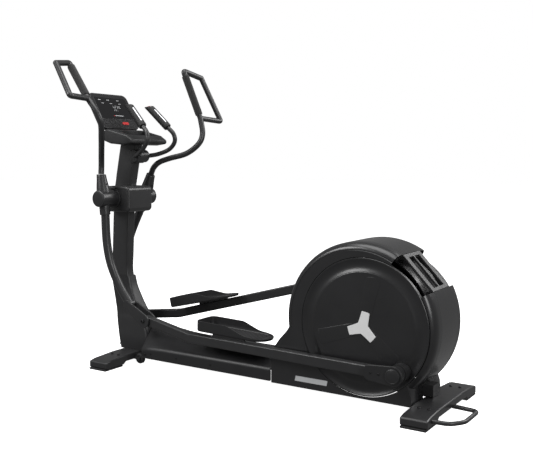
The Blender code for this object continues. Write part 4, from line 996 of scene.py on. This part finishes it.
class TRAINER_OT_pedals(PieceOperator, bpy.types.Operator):
    """Pedals: walled tub whose rim drops to the rear, and a ribbed rubber tread"""
    bl_idname = "trainer.pedals"
    bl_label = "Pedals"

    def model(self, sizes):
        hx, hy = (PEDAL_X[1] - PEDAL_X[0]) / 2, (PEDAL_Y[1] - PEDAL_Y[0]) / 2
        cx = (PEDAL_X[0] + PEDAL_X[1]) / 2
        z0, z1 = PEDAL_FLOOR_Z, PEDAL_FLOOR_Z + PEDAL_HIGH
        for side, s in SIDES:
            body = side + "_bar"
            cy = s * (PEDAL_Y[0] + PEDAL_Y[1]) / 2

            def level(inset, z):
                front = rounded_box(hx - inset, hy - inset, 0.035 - inset, cx, cy, 8)[8:24]
                back = arc(PEDAL_X[1] - hy, cy, hy - inset, 33, -pi / 2, pi)
                return [(x, y, z) for x, y in back + front]

            tub = skin("pedal_tub_" + side, [level(i, z0 + z) for i, z in (
                (0.008, 0.0), (0.004, 0.0012), (0.0015, 0.004), (0.0, 0.009), (0.0, PEDAL_HIGH))])
            well = skin("well", [level(i, z0 + z) for i, z in (
                (0.016, 0.008), (0.011, 0.0095), (0.0085, 0.013), (0.007, 0.028), (0.006, 0.080))])
            front, rear = PEDAL_X
            rim = smooth_path([(front + 0.180, 0, z1 + 0.003), (front + 0.215, 0, z1 - 0.004),
                               (front + 0.260, 0, z0 + 0.037), (front + 0.305, 0, z0 + 0.0225),
                               (front + 0.345, 0, z0 + 0.018), (rear - 0.047, 0, z0 + 0.015),
                               (rear + 0.020, 0, z0 + 0.013)], 6)
            lip = [(p.x, p.z) for p in rim] + [(rear + 0.02, z1 + 0.03), (front + 0.18, z1 + 0.03)]
            tub = carve(tub, well, across_y("slope", lip, cy - 0.2, cy + 0.2))
            soften(tub, 0.0014, 2, 50)
            x0, x1 = cx - 0.10, cx + 0.10
            foot = ((x0, bar_top(x0) + 2 * GAP), (x1, bar_top(x1) + 2 * GAP), (x1, z0 + 0.004),
                    (x0, z0 + 0.004))
            post = across_y("post", foot, *sorted((s * 0.170, s * 0.187)))
            tub = on_bar(joined("pedal_tub_" + side, [tub, post]), s)
            hand_over(tub, "black_plastic", body, ["pedal_" + side])
            mat = skin("mat", [level(i, z0 + z) for i, z in (
                (0.019, 0.0080), (0.019, 0.0100), (0.0198, 0.0106))])
            ribs = [mat]
            x = PEDAL_X[0] + 0.034
            while x < PEDAL_X[1] - 0.034:
                reach = hy - 0.024
                past = x - (PEDAL_X[1] - hy)
                if past > 0:
                    reach = ((hy - 0.012) ** 2 - past ** 2) ** 0.5 - 0.012
                base = z0 + 0.0104
                bar = ((-0.0042, base), (0.0042, base), (0.0034, base + 0.0022),
                       (0.0016, base + 0.0030), (-0.0016, base + 0.0030), (-0.0034, base + 0.0022))
                ribs.append(across_y("rib", [(x + u, w) for u, w in bar], cy - reach, cy + reach))
                x += 0.0165
            tread = on_bar(joined("pedal_tread_" + side, ribs), s)
            hand_over(tread, "rubber", body)


# Console: +X out of the face, +Z up the face ----------------------------------------
CONSOLE_TILT, CONSOLE_X, CONSOLE_Z = radians(30), AXLE_X - 1.700, 1.430
CONSOLE_HALF_W, CONSOLE_HALF_H, CONSOLE_T = 0.155, 0.118, 0.046
STOP_KEY_AT = (0.045, -0.083)       # across and up the face


def on_console(obj):
    return set_down(obj, CONSOLE_X, CONSOLE_Z, -CONSOLE_TILT)


def tablet(name, hw, hh, r, layers, cy=0.0, cz=0.0, steps=9):
    """A rounded plate in the console's frame; layers are (x, inset) pairs."""
    rings = []
    for x, inset in layers:
        outline = rounded_box(hw - inset, hh - inset, max(r - inset, 0.0005), cy, cz, steps)
        rings.append([(x, y, z) for y, z in outline])
    return skin(name, rings)


def figure(y, z, strokes, size):
    """Strokes of a seven-stroke figure."""
    h, w, t = size, size * 0.5, size * 0.11
    spots = {"a": (0, h, w, t), "g": (0, 0, w, t), "d": (0, -h, w, t), "f": (-w, h / 2, t, h / 2),
             "b": (w, h / 2, t, h / 2), "e": (-w, -h / 2, t, h / 2), "c": (w, -h / 2, t, h / 2)}
    return [(y + dy, z + dz, hw, hh) for dy, dz, hw, hh in (spots[k] for k in strokes)]


def prints(name, finish_name, marks, x):
    """Thin raised marks on the console's face, given as (y, z, half width, half height)."""
    bits = [tablet("mark", hw, hh, min(hw, hh) * 0.9, ((x - 0.0003, 0.0), (x + 0.00025, 0.0)),
                   y, z, 4) for y, z, hw, hh in marks]
    return hand_over(on_console(joined(name, bits)), finish_name, "frame")


class TRAINER_OT_console(PieceOperator, bpy.types.Operator):
    """Console: shell, face, glass with its figures and plain marks, and the stop key"""
    bl_idname = "trainer.console"
    bl_label = "Console"

    def model(self, sizes):
        hw, hh, t = CONSOLE_HALF_W, CONSOLE_HALF_H, CONSOLE_T
        shell = tablet("console_back", hw, hh, 0.035, (
            (-t, 0.032), (-t + 0.002, 0.025), (-t + 0.007, 0.016), (-t + 0.014, 0.008),
            (-0.024, 0.002), (-0.018, 0.0), (-0.0015, 0.0), (0.0, 0.0015)))
        pocket = tablet("pocket", hw - 0.006, hh - 0.006, 0.030, ((-0.018, 0.0), (0.02, 0.0)))
        hand_over(on_console(carve(shell, pocket)), "black_plastic", "frame", ["console_shell"])
        face = tablet("console_panel", hw - 0.0063, hh - 0.0063, 0.0297,
                      ((-0.006, 0.0), (0.0004, 0.0), (0.001, 0.0008)))
        window = tablet("window", 0.128, 0.072, 0.012, ((-0.0035, 0.0), (0.02, 0.0)), 0, 0.018)
        key_hole = tablet("key_hole", 0.0265, 0.0095, 0.009, ((-0.02, 0.0), (0.02, 0.0)),
                          *STOP_KEY_AT)
        hand_over(on_console(carve(face, window, key_hole)), "gloss_plastic", "frame",
                  ["console_face"])
        lens = tablet("console_glass", 0.1277, 0.0717, 0.0117,
                      ((-0.0032, 0.0), (0.0008, 0.0), (0.0012, 0.0006)), 0, 0.018)
        hand_over(on_console(lens), "display_glass", "frame", ["console_lens"])
        marks = [(y, 0.074, 0.010, 0.0016) for y in (-0.087, -0.019, 0.062)]
        marks += [(y, 0.052, 0.010, 0.0014) for y in (-0.074, -0.003, 0.068)]
        for i, strokes in enumerate(("bc", "abged", "abgcd", "abcdef")):
            marks += figure(0.000 + i * 0.018, 0.028, strokes, 0.0075)
        for i, strokes in enumerate(("abged", "abcdef", "bc")):
            marks += figure(0.002 + i * 0.013, 0.006, strokes, 0.005)
        marks.append((0.022, -0.031, 0.033, 0.0022))
        prints("console_marks", "lit_print", marks, 0.0013)
        prints("console_mark_red", "red_plastic", [(-0.018, -0.031, 0.004, 0.0022)], 0.0013)
        keys = [(y, -0.083, 0.016, 0.006) for y in (-0.105, -0.062, -0.019)]
        bits = [tablet("key", w, h, 0.006, ((0.0, 0.0), (0.0022, 0.0), (0.003, 0.0012)), y, z)
                for y, z, w, h in keys]
        hand_over(on_console(joined("console_keys", bits)), "rubber", "frame")
        stop = tablet("stop_button", 0.026, 0.009, 0.0088,
                      ((-0.012, 0.0), (0.0032, 0.0), (0.0045, 0.0008), (0.005, 0.0024)),
                      *STOP_KEY_AT)
        hand_over(on_console(stop), "red_plastic", "stop_key", ["stop_key"])


class TRAINER_OT_tray(PieceOperator, bpy.types.Operator):
    """Shelf below the display"""
    bl_idname = "trainer.tray"
    bl_label = "Tray"

    def model(self, sizes):
        dressed("console_tray", "tray_shell", "black_plastic", 0.0018, 3, angle=25)


# Fixed handlebar --------------------------------------------------------------------
HANDLEBAR_LINE = ((-1.512, 0.030, 1.170), (-1.490, 0.055, 1.172), (-1.442, 0.085, 1.182),
                  (-1.386, 0.112, 1.208), (-1.350, 0.119, 1.250), (-1.352, 0.114, 1.294),
                  (-1.385, 0.107, 1.330))
FIXED_GRIP = ((-1.385, 0.107, 1.330), (-1.512, 0.085, 1.455))
END_SLANT = 0.8                     # the grips' upper ends lean towards the user
CLAMP_X, CLAMP_Z = AXLE_X - 1.512, 1.170


def grip_frame(s):
    a, b = (Vector((AXLE_X + x, s * y, z)) for x, y, z in FIXED_GRIP)
    along = (b - a).normalized()
    out = Vector((0, s, 0))
    out = (out - along * out.dot(along)).normalized()
    return a, b, along, out, out.cross(along) * s


def along_grip(name, s, outline, stops):
    """An (out, up) outline along a fixed grip; stops are (distance, scale[, slant])."""
    a, _, along, out, up = grip_frame(s)
    rings = []
    for d, k, *slant in stops:
        lean = slant[0] if slant else 0
        rings.append([a + along * (d - lean * v * k) + out * u * k + up * v * k
                      for u, v in outline])
    return skin(name, rings)


class TRAINER_OT_fixed_handlebar(PieceOperator, bpy.types.Operator):
    """Fixed handlebar with its clamp, pulse grips, bright contacts and buttons"""
    bl_idname = "trainer.fixed_handlebar"
    bl_label = "Fixed handlebar"

    def model(self, sizes):
        line = smooth_path([(AXLE_X + x, y, z) for x, y, z in HANDLEBAR_LINE], 8)
        tip = Vector((AXLE_X + FIXED_GRIP[1][0], FIXED_GRIP[1][1], FIXED_GRIP[1][2]))
        line.append(line[-1].lerp(tip, 0.86))
        line = [Vector((p.x, -p.y, p.z)) for p in reversed(line)] + line
        bar = bent_tube("handlebar_tube", spread(line), sizes.bar_tube)
        hand_over(bar, "powder_coat", "frame", ["fixed_handlebar"])
        body = across_y("clamp_block", arc(CLAMP_X, CLAMP_Z, 0.036, 64), -0.048, 0.048)
        soften(body, 0.004, 4, 50)
        pad = ((CLAMP_X - 0.040, CLAMP_Z - 0.040), (CLAMP_X, CLAMP_Z - 0.040),
               (CLAMP_X, CLAMP_Z + 0.032), (CLAMP_X - 0.040, CLAMP_Z + 0.032))
        pad = soften(across_y("pad", pad, -0.036, 0.036), 0.003, 3, 50)
        clamp = carve(fuse(body, pad), skin("channel", mast_sections(GAP, 2)))
        hand_over(clamp, "powder_coat", "frame", ["handlebar_clamp"])
        screws("clamp_screws", "frame", sizes.small_screw,
               [((CLAMP_X + 0.0355, y, CLAMP_Z), (1, 0, 0)) for y in (-0.034, 0.034)])
        for side, s in SIDES:
            a, b, *_ = grip_frame(s)
            total = (b - a).length
            round_grip = arc(0, 0, 0.0225, 40)
            grip = along_grip("pulse_foam_" + side, s, round_grip,
                              ((0.004, 0.78), (0.0045, 0.9), (0.008, 0.99), (0.014, 1.0),
                               (total - 0.034, 1.0), (total - 0.007, 1.0, END_SLANT),
                               (total - 0.002, 0.965, END_SLANT), (total, 0.90, END_SLANT)))
            recess = along_grip("recess", s, ((-0.011, 0.0205), (0.011, 0.0205), (0.011, 0.03),
                                              (-0.011, 0.03)), ((0.030, 1), (total - 0.045, 1)))
            hole = along_grip("hole", s, arc(0, 0.004, 0.0095, 32),
                              ((total - 0.009, 1, END_SLANT), (total + 0.02, 1, END_SLANT)))
            grip = carve(grip, recess, hole)
            hand_over(grip, "grip_plastic", "frame", ["pulse_grip_" + side])
            strip = [(0.0208 * sin(t), 0.0208 * cos(t)) for t in
                     (radians(-30 + 5 * i) for i in range(13))]
            strip = [(u * 1.105, v * 1.105) for u, v in strip] + strip[::-1]
            contact = along_grip("pulse_strip_" + side, s, strip,
                                 ((0.0305, 1), (total - 0.0455, 1)))
            hand_over(contact, "silver_trim", "frame", ["pulse_contact_" + side])
            ring = arc(0, 0.004, 0.0135, 40)
            bezel = along_grip("button_ring_" + side, s, ring, (
                (total - 0.004, 1, END_SLANT), (total + 0.0006, 1, END_SLANT),
                (total + 0.0011, 0.93, END_SLANT)))
            bezel = carve(bezel, along_grip("hole", s, arc(0, 0.004, 0.0095, 32),
                                            ((total - 0.02, 1, END_SLANT),
                                             (total + 0.02, 1, END_SLANT))))
            hand_over(bezel, "silver_trim", "frame")
            button = along_grip("press_button_" + side, s, arc(0, 0.004, 0.0089, 32), (
                (total - 0.0055, 1, END_SLANT), (total + 0.0018, 1, END_SLANT),
                (total + 0.0030, 0.9, END_SLANT)))
            hand_over(button, "red_plastic", side + "_grip_button", ["grip_button_" + side])


class TRAINER_OT_drive(PieceOperator, bpy.types.Operator):
    """Finishes for the drive inside the housing, whose frame shapes are shown as they are"""
    bl_idname = "trainer.drive"
    bl_label = "Drive"

    def model(self, sizes):
        inside = {"drive_frame": "powder_coat", "crank_bearing": "zinc",
                  "drive_belt": "belt_rubber",
                  "flywheel": "cast_iron", "idler_wheel": "black_plastic",
                  "magnetic_brake": "black_plastic", "crank_axle": "zinc",
                  "crank_pulley": "black_plastic", "pivot_shaft": "zinc"}
        for node, surface in inside.items():
            mesh = frame["nodes"][node].data
            mesh.materials.clear()
            mesh.materials.append(FINISHES[surface])


class TRAINER_OT_stage(bpy.types.Operator):
    """Pale floor, soft studio light and the camera"""
    bl_idname = "trainer.stage"
    bl_label = "Stage"

    def softbox(self, name, place, aim, size, power):
        bpy.ops.object.light_add(type="AREA", location=place)
        lamp = bpy.context.object
        lamp.name = name
        lamp.rotation_euler = (Vector(aim) - Vector(place)).to_track_quat("-Z", "Y").to_euler()
        lamp.data.size, lamp.data.energy = size, power
        return lamp

    def execute(self, context):
        stage = context.scene.trainer_stage
        start_clean()
        bpy.ops.mesh.primitive_plane_add(size=60, location=(0, 0, -0.0005))
        floor = bpy.context.object
        floor.name = "studio_floor"
        paper = bpy.data.materials.new("studio_paper")
        paper.use_nodes = True
        shader = paper.node_tree.nodes["Principled BSDF"]
        shader.inputs["Base Color"].default_value = (*stage.floor_tone, 1)
        shader.inputs["Roughness"].default_value = 0.9
        shader.inputs["Specular IOR Level"].default_value = 0.1
        shader.inputs["Emission Color"].default_value = (1, 1, 1, 1)
        shader.inputs["Emission Strength"].default_value = 1.0
        floor.data.materials.append(paper)
        floor.visible_diffuse = floor.visible_glossy = False
        self.softbox("key_light", (-2.6, -3.6, 3.6), (0, 0, 0.6), 2.4, stage.key_power)
        self.softbox("rim_light", (2.6, 3.2, 3.4), (0.2, 0, 0.5), 2.6, stage.key_power * 0.8)
        self.softbox("top_light", (0.2, -0.4, 4.4), (0.1, 0, 0.4), 3.2, stage.key_power * 0.7)
        self.softbox("side_light", (4.2, -2.2, 2.0), (0.3, 0, 0.5), 2.0, stage.key_power * 0.5)
        world = bpy.data.worlds.new("studio")
        world.use_nodes = True
        background = world.node_tree.nodes["Background"]
        background.inputs["Color"].default_value = (1, 1, 1, 1)
        rays = world.node_tree.nodes.new("ShaderNodeLightPath")
        level = world.node_tree.nodes.new("ShaderNodeMapRange")
        level.inputs["To Min"].default_value = 0.2
        level.inputs["To Max"].default_value = 1.0
        world.node_tree.links.new(rays.outputs["Is Camera Ray"], level.inputs["Value"])
        world.node_tree.links.new(level.outputs["Result"], background.inputs["Strength"])
        context.scene.world = world
        context.scene.view_settings.view_transform = "Standard"
        bpy.ops.object.camera_add(location=stage.camera_place)
        camera = bpy.context.object
        a, e = stage.azimuth, stage.elevation
        back = Vector((sin(a) * cos(e), -cos(a) * cos(e), sin(e)))
        camera.rotation_euler = (-back).to_track_quat("-Z", "Y").to_euler()
        camera.data.lens, camera.data.sensor_width = stage.lens, 36
        context.scene.camera = camera
        return {"FINISHED"}


PIECES = (TRAINER_OT_feet, TRAINER_OT_wheels, TRAINER_OT_base, TRAINER_OT_mast,
          TRAINER_OT_pivot_housing, TRAINER_OT_housing, TRAINER_OT_crank_discs,
          TRAINER_OT_swing_arms, TRAINER_OT_handles, TRAINER_OT_pedal_bars, TRAINER_OT_pedals,
          TRAINER_OT_console, TRAINER_OT_tray, TRAINER_OT_fixed_handlebar, TRAINER_OT_drive,
          TRAINER_OT_stage)


class TRAINER_PT_panel(bpy.types.Panel):
    """Sizes, tones and pieces of the trainer"""
    bl_idname = "TRAINER_PT_panel"
    bl_label = "Elliptical Trainer"
    bl_space_type = "VIEW_3D"
    bl_region_type = "UI"
    bl_category = "Trainer"

    def draw(self, context):
        scene = context.scene
        for group in (scene.trainer_sizes, scene.trainer_tones, scene.trainer_stage):
            box = self.layout.box()
            for key in group.__annotations__:
                box.prop(group, key)
        for piece in PIECES:
            self.layout.operator(piece.bl_idname)


GROUPS = {"trainer_sizes": TrainerSizes, "trainer_tones": TrainerTones,
          "trainer_stage": TrainerStage}


def register():
    for item in (*GROUPS.values(), *PIECES, TRAINER_PT_panel):
        bpy.utils.register_class(item)
    for key, group in GROUPS.items():
        setattr(bpy.types.Scene, key, bpy.props.PointerProperty(type=group))


def unregister():
    for key in GROUPS:
        delattr(bpy.types.Scene, key)
    for item in (TRAINER_PT_panel, *reversed(PIECES), *reversed(GROUPS.values())):
        bpy.utils.unregister_class(item)


def main():
    register()
    make_finishes(bpy.context.scene.trainer_tones)
    for piece in PIECES:
        group, name = piece.bl_idname.split(".")
        getattr(getattr(bpy.ops, group), name)()


if __name__ == "__main__":
    main()
